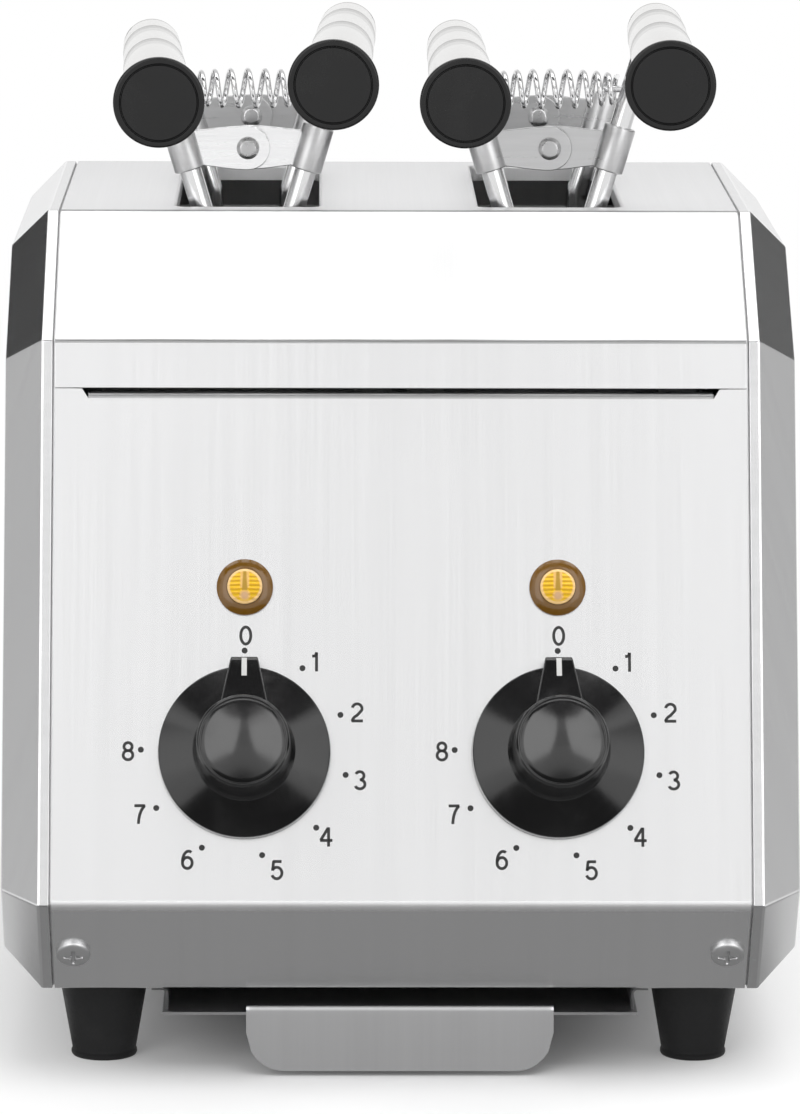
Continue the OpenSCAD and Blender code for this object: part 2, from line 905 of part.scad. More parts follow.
// Frame whose Z axis runs from one point towards another
function unit(v) = v / norm(v);
module along(a, b) {
  w = unit(b - a);
  u = unit(cross(abs(w.x) < 0.9 ? [1, 0, 0] : [0, 1, 0], w));
  v = cross(w, u);
  multmatrix([[u.x, v.x, w.x, a.x], [u.y, v.y, w.y, a.y], [u.z, v.z, w.z, a.z], [0, 0, 0, 1]])
    children();
}

// Path through a list of points, with a round bend at each inner point
bend_steps = 8;
function turn(a, b, c) = acos(min(1, max(-1, unit(b - a) * unit(c - b))));
function bend_points(a, b, c, r) = let (
    u = unit(b - a),
    v = unit(c - b),
    w = unit(v - u * (u * v)),
    angle = turn(a, b, c),
    centre = b - u * r * tan(angle / 2) + w * r
  ) [for (k = [0:bend_steps]) centre + r * (u * sin(angle * k / bend_steps) - w * cos(angle * k / bend_steps))];
function bent_path(pts, r) = concat([pts[0]],
  [for (i = [1:len(pts) - 2]) each bend_points(pts[i - 1], pts[i], pts[i + 1], r)], [pts[len(pts) - 1]]);

// Round wire along a path that nowhere runs along X: a ring of points at each step, joined by triangles
function wire_ring(path, i, r, sides) = let (
    last = len(path) - 1,
    w = unit(path[min(i + 1, last)] - path[max(i - 1, 0)]),
    u = unit([1, 0, 0] - w * w.x),
    v = cross(w, u)
  ) [for (k = [0:sides - 1]) path[i] + r * (u * cos(360 * k / sides) + v * sin(360 * k / sides))];
module wire(path, d, sides) {
  n = sides;
  last = len(path) - 1;
  points = [for (i = [0:last]) each wire_ring(path, i, d / 2, n)];
  walls = [
    for (i = [0:last - 1], k = [0:n - 1], h = [0, 1])
      let (a = i * n + k, b = i * n + (k + 1) % n)
        h == 0 ? [a, a + n, b] : [b, a + n, b + n]
  ];
  ends = [
    for (k = [1:n - 2], h = [0, 1])
      h == 0 ? [0, k, k + 1] : [last * n, last * n + k + 1, last * n + k]
  ];
  polyhedron(points, concat(walls, ends));
}

plug_depth = 12;
plug_gap = 0.5;
cap_face = 3;
rod_end = cap_face;
rod_sides = 16;
peg_gap = 0.6;
spring_peg_d = spring_end_d - spring_wire - 2 * peg_gap;
spring_peg_l = 5;
stub_past = 2;
rear_stub = plate_h / 2 + stub_past;

// Bent rod of one half: handle, front leg, foot and rear leg, with a peg that holds the spring
module tong_rod(side, s) {
  back = handle_back(s);
  tip = handle_tip(side, s);
  front = tip + unit(back - tip) * rod_end;
  path = [front, back, [rod_x(knee_z), leg_front, knee_z], [jaw_gap / 2, leg_front, -jaw_depth],
    [jaw_gap / 2, leg_rear, -jaw_depth], [rod_x(knee_z), leg_rear, knee_z],
    [rod_x(rear_stub), leg_rear, rear_stub]];
  color(bright_c)
    in_tong(side)
      half(s) {
        wire(bent_path(path, rod_bend), rod_d, rod_sides);
        translate([rod_x(spring_rise), leg_front, spring_rise])
          rotate([0, -90, 0])
            cylinder(d = spring_peg_d, h = rod_d / 2 + spring_peg_l);
      }
}

weld = 0.6;
stay_pitch = 23;
grid_margin = 16;
stay_past = 4;
stay_lap = 0.3;

// Welded wire grid between the legs of one half
module tong_grid(side, s) {
  low = -jaw_depth + grid_margin;
  high = knee_z - grid_margin;
  step = (high - low) / (jaw_wires - 1);
  foot = low - stay_past;
  head = high + stay_past;
  stay_off = jaw_wire - stay_lap;
  mid = (leg_front + leg_rear) / 2;
  reach = leg_span / 2 - rod_d / 2 + weld;
  color(bright_c)
    in_tong(side)
      half(s) {
        for (i = [0:jaw_wires - 1])
          translate([jaw_x(low + i * step), mid, low + i * step])
            rotate([90, 0, 0])
              cylinder(d = jaw_wire, h = 2 * reach, center = true, $fn = 24);
        for (y = [-stay_pitch, 0, stay_pitch])
          along([jaw_x(foot) + stay_off, mid + y, foot], [jaw_x(head) + stay_off, mid + y, head])
            cylinder(d = jaw_wire, h = head - foot, $fn = 24);
      }
}

plate_lap = 0.3;
plate_taper = 3;
collar_t = 1.5;

// Lapped plates that carry the rivets, each rolled round its rod; the left half's lie in front
module tong_plates(side, s) {
  outer_h = plate_h - plate_taper;
  y0 = s < 0 ? -plate_t - plate_lap / 2 : plate_lap / 2;
  color(bright_c)
    in_tong(side)
      half(s)
        for (y = [leg_front, leg_rear])
          translate([0, y, 0])
            difference() {
              union() {
                translate([0, y0 + plate_t, 0])
                  rotate([90, 0, 0])
                    linear_extrude(plate_t) {
                      polygon([[0, -plate_h / 2], [rod_x(-outer_h / 2), -outer_h / 2],
                        [rod_x(outer_h / 2), outer_h / 2], [0, plate_h / 2]]);
                      circle(d = plate_h);
                    }
                along([rod_x(-plate_h / 2), 0, -plate_h / 2], [rod_x(plate_h / 2), 0, plate_h / 2])
                  cylinder(d = rod_d + 2 * collar_t, h = plate_h / cos(rod_lean));
              }
              along([rod_x(-plate_h), 0, -plate_h], [rod_x(plate_h), 0, plate_h])
                cylinder(d = rod_d + 2 * run_clear, h = 2 * plate_h / cos(rod_lean));
              rotate([90, 0, 0])
                cylinder(d = rivet_d + 2 * run_clear, h = 4 * plate_t, center = true);
            }
}

rivet_head_t = 1.3;
rivet_stack = 2 * plate_t + plate_lap + 2 * slide_gap;

// Rivets at the front and rear of the pivot, on which both halves turn
module tong_rivets(side) {
  under = rivet_stack / 2;
  over = under + rivet_head_t;
  edge = under + rivet_head_t / 3;
  color(bright_c)
    in_tong(side)
      for (y = [leg_front, leg_rear])
        translate([0, y, 0])
          rotate([90, 0, 0])
            rotate_extrude()
              polygon([[0, -over], [rivet_head_d / 3, -over], [rivet_head_d / 2, -edge],
                [rivet_head_d / 2, -under], [rivet_d / 2, -under], [rivet_d / 2, under],
                [rivet_head_d / 2, under], [rivet_head_d / 2, edge], [rivet_head_d / 3, over], [0, over]]);
}

// Barrel spring between the rods: one unbroken wire, closer wound at its ends, both of which are on top
spring_l = 2 * (rod_x(spring_rise) - rod_d / 2 - slide_gap) - spring_wire;
spring_rings = 8;
spring_sides = 6;
spring_steps = spring_coils * spring_rings;
end_crowd = 0.3;
function barrel_d(t) = spring_end_d + (spring_mid_d - spring_end_d) * sin(180 * t);
function spring_at(t) = [
  spring_l * (t - 0.5 - end_crowd * sin(360 * t) / (2 * PI)),
  -barrel_d(t) / 2 * sin(360 * spring_coils * t),
  barrel_d(t) / 2 * cos(360 * spring_coils * t)
];
spring_points = [for (i = [0:spring_steps]) spring_at(i / spring_steps)];
spring_self_gap = min([
  for (i = [0:spring_steps - spring_rings / 2 - 1], j = [i + spring_rings / 2:spring_steps])
    norm(spring_points[i] - spring_points[j])
]) - spring_wire;

module tong_spring(side) {
  echo(spring_self_gap = spring_self_gap);
  color(bright_c)
    in_tong(side)
      translate([0, leg_front, spring_rise])
        wire(spring_points, spring_wire, spring_sides);
}

collar_l = 4;
sleeve_wall = 1.2;
sleeve_gap = 4;
sleeve_start = rod_bend + sleeve_gap;
collar_rise = 0.9;
collar_round = 0.6;
end_wall = 2;

// Tapered handle sleeve with a collar and an end wall at the rear, open at the front for the cap
module tong_sleeve(side, s) {
  back = handle_back(s);
  tip = handle_tip(side, s);
  sleeve_l = norm(tip - back) - cap_t - sleeve_start;
  bore_r = rod_d / 2 + run_clear;
  rear_r = sleeve_rear_d / 2;
  front_r = sleeve_front_d / 2;
  color(bright_c)
    in_tong(side)
      half(s)
        along(back, tip)
          translate([0, 0, sleeve_start])
            rotate_extrude()
              polygon([[bore_r, 0], [rear_r, 0], [rear_r + collar_rise, collar_round],
                [rear_r + collar_rise, collar_l - collar_round], [rear_r, collar_l], [front_r, sleeve_l],
                [front_r - sleeve_wall, sleeve_l], [rear_r - sleeve_wall, collar_l + end_wall],
                [bore_r, collar_l + end_wall]]);
}

cap_round = 1.6;
cap_edge = 1;

// Black end cap with a plug that centres it in the sleeve and takes the rod's end
module tong_cap(side, s) {
  back = handle_back(s);
  tip = handle_tip(side, s);
  cap_r = cap_d / 2;
  plug_r = sleeve_front_d / 2 - sleeve_wall - plug_gap;
  bore_r = rod_d / 2 + run_clear;
  color(black_c)
    in_tong(side)
      half(s)
        along(tip, back)
          rotate_extrude()
            polygon(concat([[0, 0]],
              [for (a = [0:30:90]) [cap_r - cap_round + cap_round * sin(a), cap_round - cap_round * cos(a)]],
              [[cap_r, cap_t - cap_edge], [cap_r - cap_edge, cap_t], [plug_r, cap_t],
                [plug_r, cap_t + plug_depth], [bore_r, cap_t + plug_depth], [bore_r, rod_end - seat_gap],
                [0, rod_end - seat_gap]]));
}

// One line for each node

placed() hood();
placed() front_panel();
placed() rear_panel();
placed() side_cover_left();
placed() side_cover_right();
placed() base_plate();
placed() reflector_left();
placed() reflector_right();
placed() reflector_centre();
placed() element_brackets();
placed() heater_bank(0);  // heater_bank_1
placed() heater_bank(1);  // heater_bank_2
placed() heater_bank(2);  // heater_bank_3
placed() heater_bank(3);  // heater_bank_4
placed() slot_guard(-slot_x, -1);  // slot_guard_1
placed() slot_guard(-slot_x, 1);  // slot_guard_2
placed() slot_guard(slot_x, -1);  // slot_guard_3
placed() slot_guard(slot_x, 1);  // slot_guard_4
placed() tong_rests();
placed() timer_left();
placed() timer_right();
placed() lamp_bezel_left();
placed() lamp_bezel_right();
placed() lamp_lens_left();
placed() lamp_lens_right();
placed() tray_runner_left();
placed() tray_runner_right();
placed() feet();
placed() screws();
placed() cable_gland();
placed() terminal_block();
placed() knob_left();
placed() knob_right();
placed() timer_spindle_left();
placed() timer_spindle_right();
placed() crumb_tray();
placed() tong_rivets(-1);  // tong_left_rivets
placed() tong_spring(-1);  // tong_left_spring
placed() tong_rod(-1, -1);  // tong_left_rod_a
placed() tong_grid(-1, -1);  // tong_left_grid_a
placed() tong_plates(-1, -1);  // tong_left_plates_a
placed() tong_sleeve(-1, -1);  // tong_left_sleeve_a
placed() tong_cap(-1, -1);  // tong_left_cap_a
placed() tong_rod(-1, 1);  // tong_left_rod_b
placed() tong_grid(-1, 1);  // tong_left_grid_b
placed() tong_plates(-1, 1);  // tong_left_plates_b
placed() tong_sleeve(-1, 1);  // tong_left_sleeve_b
placed() tong_cap(-1, 1);  // tong_left_cap_b
placed() tong_rivets(1);  // tong_right_rivets
placed() tong_spring(1);  // tong_right_spring
placed() tong_rod(1, -1);  // tong_right_rod_a
placed() tong_grid(1, -1);  // tong_right_grid_a
placed() tong_plates(1, -1);  // tong_right_plates_a
placed() tong_sleeve(1, -1);  // tong_right_sleeve_a
placed() tong_cap(1, -1);  // tong_right_cap_a
placed() tong_rod(1, 1);  // tong_right_rod_b
placed() tong_grid(1, 1);  // tong_right_grid_b
placed() tong_plates(1, 1);  // tong_right_plates_b
placed() tong_sleeve(1, 1);  // tong_right_sleeve_b
placed() tong_cap(1, 1);  // tong_right_cap_b
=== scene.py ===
"""Two-slot tong toaster: sheet-steel shell, lift-out spring tongs, timer knobs, pilot lamps and a crumb tray."""

import math

import bmesh
import bpy
import numpy as np
from bpy.props import FloatProperty, FloatVectorProperty, IntProperty, PointerProperty
from mathutils import Matrix, Vector
from mathutils.geometry import tessellate_polygon


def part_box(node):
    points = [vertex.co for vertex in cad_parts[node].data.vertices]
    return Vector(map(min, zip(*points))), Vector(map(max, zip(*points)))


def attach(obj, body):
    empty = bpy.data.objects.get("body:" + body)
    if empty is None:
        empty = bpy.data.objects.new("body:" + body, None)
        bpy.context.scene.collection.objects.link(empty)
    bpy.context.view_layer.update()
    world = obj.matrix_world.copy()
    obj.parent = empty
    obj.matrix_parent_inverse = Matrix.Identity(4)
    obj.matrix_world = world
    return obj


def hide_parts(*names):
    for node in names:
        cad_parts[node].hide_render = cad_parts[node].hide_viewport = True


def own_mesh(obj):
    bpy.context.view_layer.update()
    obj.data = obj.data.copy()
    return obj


bl_info = {
    "name": "Tong toaster",
    "version": (1, 0, 0),
    "blender": (4, 5, 0),
    "location": "View3D > Sidebar > Toaster",
    "description": "Builds a two-slot tong toaster around its packed frame",
    "category": "Add Mesh",
}

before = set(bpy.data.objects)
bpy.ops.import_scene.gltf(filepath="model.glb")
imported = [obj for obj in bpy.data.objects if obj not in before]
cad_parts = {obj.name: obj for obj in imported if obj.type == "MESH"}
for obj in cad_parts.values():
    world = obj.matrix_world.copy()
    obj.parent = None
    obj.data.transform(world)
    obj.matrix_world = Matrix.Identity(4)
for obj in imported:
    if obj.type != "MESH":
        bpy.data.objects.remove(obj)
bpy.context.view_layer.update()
MM = 0.001
HOOD_LOW, HOOD_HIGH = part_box("hood")
MIDDLE_Y = (HOOD_LOW.y + HOOD_HIGH.y) / 2 / MM
SIDES = (("left", -1), ("right", 1))
HALVES = (("a", -1), ("b", 1))
WHITE = (1.0, 1.0, 1.0, 1.0)
# Rounding of cut sheet edges, the gap under the hood's lips and the depth of the foot screws' seats in millimetres, the
# distance at which points merge in metres, and the angle in degrees past which an edge is rounded.
SHEET_EDGE = 0.15
LIP_GAP = 0.2
FOOT_SEAT = 6
MERGE = 2e-6
BEVEL_PAST = 40
# How fine the brushing is along each axis; the large number lies across the lines.
LINES_UP_FRONT = (1500.0, 14.0, 14.0)
LINES_UP_SIDE = (14.0, 1500.0, 14.0)
LINES_ON_PLATE = (60.0, 60.0, 900.0)
LINES_ON_SLEEVE = (40.0, 900.0, 40.0)
LINES_ON_TRAY = (700.0, 20.0, 20.0)
LINES_INSIDE = (50.0, 50.0, 400.0)


def length(name, mm, about):
    """A length that the sidebar shows in the scene's unit."""
    return FloatProperty(name=name, description=about, default=mm * MM, min=0.0, unit="LENGTH", subtype="DISTANCE",
                         precision=5)


def angle(name, degrees, about):
    """An angle, shown in degrees."""
    return FloatProperty(name=name, description=about, default=math.radians(degrees), unit="ROTATION", subtype="ANGLE")


def colour(name, value, about):
    """A linear colour without alpha."""
    return FloatVectorProperty(name=name, description=about, default=value, size=3, min=0.0, max=1.0, subtype="COLOR")


def level(name, value, about):
    """A plain strength."""
    return FloatProperty(name=name, description=about, default=value, min=0.0)


class ShellSizes(bpy.types.PropertyGroup):
    """Folded sheet-steel shell"""
    body_w: length("Body width", 227, "Width over both side covers")
    body_h: length("Body height", 240, "Height of the flat top over the table")
    top_d: length("Top depth", 128, "Depth of the flat top")
    shoulder_h: length("Shoulder height", 208, "Height of the fold between the sloped top and the panels")
    shoulder_d: length("Shoulder depth", 220, "Depth at that fold")
    lean: angle("Panel lean", 18, "Lean of the front and rear panels")
    bend_h: length("Bend height", 54, "Height of the lower bend of the panels")
    under_h: length("Underside height", 25, "Height of the underside over the table")
    tuck: length("Tuck", 21, "How far the strip under the bend turns in")
    sheet: length("Sheet", 0.8, "Thickness of the steel sheet")
    fold_r: length("Fold radius", 2.1, "Outside radius of the hood's folds")
    bend_r: length("Bend radius", 3.4, "Outside radius of the panels' lower bend")
    lip_h: length("Lip height", 13, "Height of the hood's lips")
    slit_w: length("Slit width", 178.4, "Width of the vent slit under the lip")
    slit_h: length("Slit height", 1.9, "Height of the vent slit")
    slot_w: length("Slot width", 42, "Width of a bread slot")
    slot_l: length("Slot length", 110, "Length of a bread slot")
    slot_r: length("Slot corner", 3, "Corner radius of a bread slot")
    slot_pitch: length("Slot pitch", 88.8, "Distance between the middles of the slots")
    rim: length("Slot rim", 5, "Depth of the flange turned down round a slot")
    rim_r: length("Rim radius", 1.1, "Radius of the rolled slot edge")
    bevel: length("Cover bevel", 11, "Width of the side covers' bevel")
    flange: length("Cover flange", 3, "Width of the side covers' flange")
    joint: length("Cover joint", 0.75, "Gap between a cover and the shell")
    joggle: length("Joggle", 6, "Width of the cover's inner edge under the shell")
    cover_r: length("Cover corner", 1.5, "Radius of the side covers' corners")


class ControlSizes(bpy.types.PropertyGroup):
    """Knobs, dials and lamps"""
    knob_h: length("Knob height", 95.5, "Height of the knob axes on the panel")
    knob_d: length("Knob diameter", 49, "Diameter of the knob's skirt")
    knob_t: length("Knob depth", 36, "Reach of the knob from the panel")
    hub_d: length("Hub diameter", 27.0, "Diameter of the hub at its foot")
    dome_d: length("Dome diameter", 25.9, "Diameter of the hub at its face")
    mark_w: length("Pointer line", 1.48, "Width of the white line on a pointer")
    dot_r: length("Dot circle", 29.3, "Radius of the dial's circle of dots")
    dot_d: length("Dot", 1.7, "Diameter of a dial dot")
    digit_h: length("Digit height", 5.45, "Height of the dial's digits")
    dial_drop: length("Dial drop", 0.15, "How far the printed dial sits under the knob's axis")
    step: angle("Dial step", 34, "Angle between two dial marks")
    lamp_h: length("Lamp height", 140.4, "Height of the lamps on the panel")
    bezel_d: length("Bezel diameter", 16.0, "Outside diameter of a lamp's bezel")
    lens_d: length("Lens diameter", 10.0, "Diameter of a lamp's lens")
    ridge: length("Lens ridge", 1.25, "Spacing of the lens's moulded ridges")


class TongSizes(bpy.types.PropertyGroup):
    """Lift-out spring tongs"""
    rod_d: length("Rod", 6.4, "Diameter of the bent rods")
    rod_gap: length("Rod gap", 28, "Distance between the rods at the flat top")
    lean: angle("Rod lean", 16.5, "Outward lean of the rods over the slot")
    bend: length("Rod bend", 11, "Bend radius of the rods")
    pivot: length("Pivot rise", 16.5, "Height of the rivets over the flat top")
    span: length("Leg span", 91, "Distance between front and rear legs")
    inset: length("Leg inset", 8, "Distance from the slot's front end to the front legs")
    sink: length("Bend depth", 7, "Depth of the rods' lower bend under the flat top")
    depth: length("Jaw depth", 192, "Depth of the jaws under the pivot")
    gap: length("Jaw gap", 10, "Distance between the closed jaws")
    rise: length("Handle rise", 35, "Height of the handles over the pivot")
    step: length("Handle step", 5, "How much higher the right handle sits")
    reach: length("Handle length", 112, "Length of a handle from the leg to the cap's face")
    drop: length("Handle drop", 8, "Drop of a handle towards its front")
    toe_left: length("Left toe", 5.25, "How far the left tong's handles turn in")
    toe_right: length("Right toe", 1, "How far the right tong's handles turn in")
    sleeve_rear: length("Sleeve rear", 16, "Diameter of the sleeve at the rear")
    sleeve_front: length("Sleeve front", 19, "Diameter of the sleeve at the front")
    ring_rear: length("Rear ring", 16, "Distance of the sleeve's rear ring from its end")
    ring_front: length("Front ring", 41, "Distance of the sleeve's front ring from its rear end")
    cap_d: length("Cap diameter", 25.3, "Diameter of the end cap")
    cap_taper: length("Cap taper", 2, "How much the cap's radius shrinks towards the rear")
    cap_t: length("Cap thickness", 9, "Thickness of the end cap")
    plate_t: length("Plate", 1.5, "Thickness of the hinge plates")
    plate_h: length("Plate height", 13, "Height of the hinge plates at the rivet")
    rivet_d: length("Rivet head", 6.6, "Diameter of the rivet heads")
    spring_z: length("Spring rise", 17.5, "Height of the spring over the pivot")
    wire: length("Spring wire", 1.6, "Wire diameter of the spring")
    coil_mid: length("Spring middle", 10.4, "Diameter of the spring's middle coils")
    coil_end: length("Spring ends", 7.4, "Diameter of the spring's end coils")
    coils: IntProperty(name="Coils", description="Number of coils in the spring", default=10, min=3, max=20)
    peg_d: length("Peg", 1.9, "Diameter of the pegs that hold the spring")
    peg_l: length("Peg length", 5, "Reach of a peg from its rod")
    swing: angle("Tong swing", 5, "How far one half of a tong opens")


class BaseSizes(bpy.types.PropertyGroup):
    """Crumb tray, feet, screws and inlet"""
    tray_w: length("Tray width", 136, "Width of the crumb tray")
    tray_h: length("Tray height", 17.5, "Height of the tray's floor")
    tray_front: length("Tray front", 140, "Distance of the tray's front edge from the middle")
    tray_rear: length("Tray rear", 100, "Distance of the tray's rear edge from the middle")
    flap_w: length("Flap width", 88, "Width of the pull flap")
    flap_foot: length("Flap foot", 1.5, "Distance of the flap from the table")
    flap_rise: length("Flap rise", 1.9, "Rise of the tray's front edge over its floor")
    flap_r: length("Flap corner", 11, "Corner radius of the flap")
    flap_lean: angle("Flap lean", 6, "Lean of the flap")
    foot_d: length("Foot top", 26.4, "Diameter of the feet at the top")
    foot_tip: length("Foot tip", 18, "Diameter of the feet at the table")
    foot_x: length("Foot place across", 85.5, "Distance of the feet from the middle, sideways")
    foot_y: length("Foot place along", 116, "Distance of the feet from the middle, front and back")
    screw_x: length("Screw place", 93, "Distance of the panel screws from the middle")
    screw_h: length("Screw height", 38, "Height of the panel screws on the lower strip")
    head_d: length("Screw head", 9.7, "Diameter of the screw heads")
    head_h: length("Screw head height", 2.1, "Height of the screw heads")
    gland_h: length("Gland height", 100, "Height of the cable gland on the rear panel")
    gland_d: length("Gland diameter", 17, "Outside diameter of the cable gland")


class FinishColours(bpy.types.PropertyGroup):
    """Colours of the finishes"""
    steel: colour("Shell steel", (0.83, 0.83, 0.835), "Brushed steel of the shell")
    wire: colour("Bright wire", (0.74, 0.74, 0.745), "Polished rods, plates and springs")
    handle: colour("Handle metal", (0.76, 0.755, 0.745), "Polished handle sleeves")
    tray: colour("Tray steel", (0.49, 0.49, 0.495), "Plated sheet of the crumb tray")
    black: colour("Black moulding", (0.005, 0.005, 0.0052), "Knobs, caps and gland")
    rubber: colour("Foot rubber", (0.011, 0.011, 0.0115), "Rubber of the feet")
    amber: colour("Amber lens", (0.89, 0.555, 0.015), "Lens of the lamps")
    bezel: colour("Lamp bezel", (0.15, 0.068, 0.005), "Smoked rim of the lamps")
    print: colour("Dial print", (0.022, 0.022, 0.022), "Dots and digits of the dials")
    line: colour("Pointer line", (0.58, 0.58, 0.57), "White line on the pointers")
    inner: colour("Inner sheet", (0.62, 0.62, 0.62), "Aluminised sheet inside the body")
    quartz: colour("Quartz", (0.78, 0.78, 0.76), "Heater tubes")
    pale: colour("Pale moulding", (0.72, 0.68, 0.58), "Timers and terminal block")
    floor: colour("Floor", (0.93, 0.93, 0.93), "Studio floor")


class StageLevels(bpy.types.PropertyGroup):
    """Camera and light"""
    lens: FloatProperty(name="Lens", description="Focal length of the camera", default=196.34, min=10, unit="CAMERA")
    ambient: level("Ambient", 0.55, "World light on matt surfaces")
    key: level("Key lamp", 30.0, "Power of the large lamp overhead in watts")
    fill: level("Fill lamp", 10.0, "Power of the front lamp in watts")
    overhead: level("Overhead card", 2.8, "Brightness of the overhead card in reflections")
    middle: level("Middle card", 0.88, "Brightness of the card ahead in reflections")
    softbox: level("Softboxes", 2.5, "Brightness of the two front softboxes in reflections")
    wing: level("Outer softboxes", 1.3, "Brightness of the strips beside the softboxes in reflections")
    side: level("Side cards", 0.5, "Brightness of the grey side cards in reflections")
    shade: level("Dark cards", 0.06, "Brightness of the dark cards in reflections")
    # The ground card and the side ground cards stand in for the shade on the table in front of and beside the body:
    # painted shade, seen only in reflections.
    ground: level("Ground card", 0.26, "Brightness of the table in front in reflections")
    beside: level("Side ground", 0.72, "Brightness of the table beside the body in reflections")


class ToasterSettings(bpy.types.PropertyGroup):
    """All the values of the toaster"""
    shell: PointerProperty(type=ShellSizes)
    controls: PointerProperty(type=ControlSizes)
    tongs: PointerProperty(type=TongSizes)
    base: PointerProperty(type=BaseSizes)
    colours: PointerProperty(type=FinishColours)
    stage: PointerProperty(type=StageLevels)


class Values:
    """One property group's values: lengths in millimetres and the rest as they are."""

    def __init__(self, group):
        for key, prop in group.bl_rna.properties.items():
            if key in ("rna_type", "name"):
                continue
            value = getattr(group, key)
            setattr(self, key, value / MM if prop.unit == "LENGTH" else value)


def shell_of(context):
    """The shell's values with its derived lines: panel and strip depths at a height, and the widths across."""
    s = Values(context.scene.toaster.shell)
    s.panel_y = lambda z: s.shoulder_d / 2 + (s.shoulder_h - z) * math.tan(s.lean)
    s.bend_y = s.panel_y(s.bend_h)
    s.bottom_y = s.bend_y - s.tuck
    s.tuck_lean = math.atan2(s.tuck, s.bend_h - s.under_h)
    s.tuck_y = lambda z: s.bottom_y + (z - s.under_h) * math.tan(s.tuck_lean)
    s.edge_x = s.body_w / 2 - s.bevel - s.flange
    s.half_w = s.edge_x - s.joint
    s.slot_x = s.slot_pitch / 2
    s.lip_z = s.shoulder_h - s.lip_h
    s.panel_top = s.lip_z - LIP_GAP
    s.profile = np.array([[s.top_d / 2, s.body_h], [s.shoulder_d / 2, s.shoulder_h], [s.bend_y, s.bend_h],
                          [s.bottom_y, s.under_h], [-s.bottom_y, s.under_h], [-s.bend_y, s.bend_h],
                          [-s.shoulder_d / 2, s.shoulder_h], [-s.top_d / 2, s.body_h]])
    return s


def unit(v):
    """Vectors divided by their lengths."""
    v = np.asarray(v, float)
    return v / np.linalg.norm(v, axis=-1, keepdims=True)


def fillet(points, radius, steps=6, closed=False):
    """Polyline whose corners are arcs: each corner is cut back by radius over the tangent of half its angle, at most
    half of a side, and the cut is bridged by the arc about the point where both cut normals meet."""
    pts = np.asarray(points, float)
    n = len(pts)
    radii = np.broadcast_to(np.asarray(radius, float), (n,))
    most = 0.49
    t = np.linspace(0, 1, steps + 1)[:, None]
    out = []
    for i in range(n):
        if radii[i] <= 0 or (not closed and i in (0, n - 1)):
            out.append(pts[i:i + 1])
            continue
        a, b, c = pts[i - 1], pts[i], pts[(i + 1) % n]
        u, v = unit(a - b), unit(c - b)
        half = math.acos(np.clip(u @ v, -1, 1)) / 2
        cut = min(radii[i] / math.tan(half), most * np.linalg.norm(a - b), most * np.linalg.norm(c - b))
        r = cut * math.tan(half)
        centre = b + unit(u + v) * r / math.sin(half)
        p, q = b + u * cut - centre, b + v * cut - centre
        turn = math.pi - 2 * half
        out.append(centre + (np.sin((1 - t) * turn) * p + np.sin(t * turn) * q) / math.sin(turn))
    return np.concatenate(out)


def rounded_loop(w, l, r, steps=6):
    """Closed outline of a rectangle with round corners, anticlockwise from its right side."""
    x, y = w / 2, l / 2
    return fillet([[x, -y], [x, y], [-x, y], [-x, -y]], max(r, 0.01), steps, closed=True)


def around(n):
    """Angles of n even steps round a circle."""
    return np.linspace(0, 2 * np.pi, n, endpoint=False)


def circle(r, n):
    """Closed circle of n points."""
    return np.stack([r * np.cos(around(n)), r * np.sin(around(n))], -1)


def grid_of(x, y, z):
    """Grid of points from three coordinates, each stretched to one shape."""
    return np.stack(np.broadcast_arrays(x, y, z), -1)


def turned(profile, n=64):
    """Profile of radius and height carried round the Z axis: x and y are the radius times cosine and sine."""
    profile = np.asarray(profile, float)
    r, z = profile[:, :1], profile[:, 1:]
    return grid_of(r * np.cos(around(n)), r * np.sin(around(n)), z)


def tube(path, radius, n=16, hint=(1, 0, 0)):
    """Circle carried along a path: each ring lies square to the path's direction, and its first spoke is the hint with
    its part along the path taken off."""
    path = np.asarray(path, float)
    w = unit(np.gradient(path, axis=0))
    u = unit(np.asarray(hint, float) - w * (w @ np.asarray(hint, float))[:, None])
    v = np.cross(w, u)
    a = around(n)[None, :, None]
    r = np.broadcast_to(np.asarray(radius, float), (len(path),))[:, None, None]
    return path[:, None] + r * (np.cos(a) * u[:, None] + np.sin(a) * v[:, None])


def held(points, place):
    """Local points put into a frame of an origin and three axes."""
    origin, axes = place
    return np.asarray(points, float) @ np.asarray(axes, float) + np.asarray(origin, float)


def on_panel(s, x, z, behind=False):
    """Frame on a panel: X across, Y up the panel, Z out of it."""
    sn, cs = math.sin(s.lean), math.cos(s.lean)
    return turned_round((np.array([x, -s.panel_y(z), z]), np.array([[1, 0, 0], [0, sn, cs], [0, -cs, sn]])), behind)


def on_tuck(s, x, z, behind=False):
    """Frame on the strip under the bend."""
    sn, cs = math.sin(s.tuck_lean), math.cos(s.tuck_lean)
    return turned_round((np.array([x, -s.tuck_y(z), z]), np.array([[1, 0, 0], [0, -sn, cs], [0, -cs, -sn]])), behind)


def turned_round(place, behind):
    """The same frame half a turn round the vertical axis, if it is on the rear."""
    half_turn = np.array([-1, -1, 1]) if behind else np.array([1, 1, 1])
    return place[0] * half_turn, place[1] * half_turn


def between(a, b):
    """Frame at a whose Z axis runs towards b."""
    a, b = np.asarray(a, float), np.asarray(b, float)
    w = unit(b - a)
    u = unit(np.cross([1, 0, 0] if abs(w[0]) < 0.9 else [0, 1, 0], w))
    return a, np.array([u, np.cross(w, u), w])


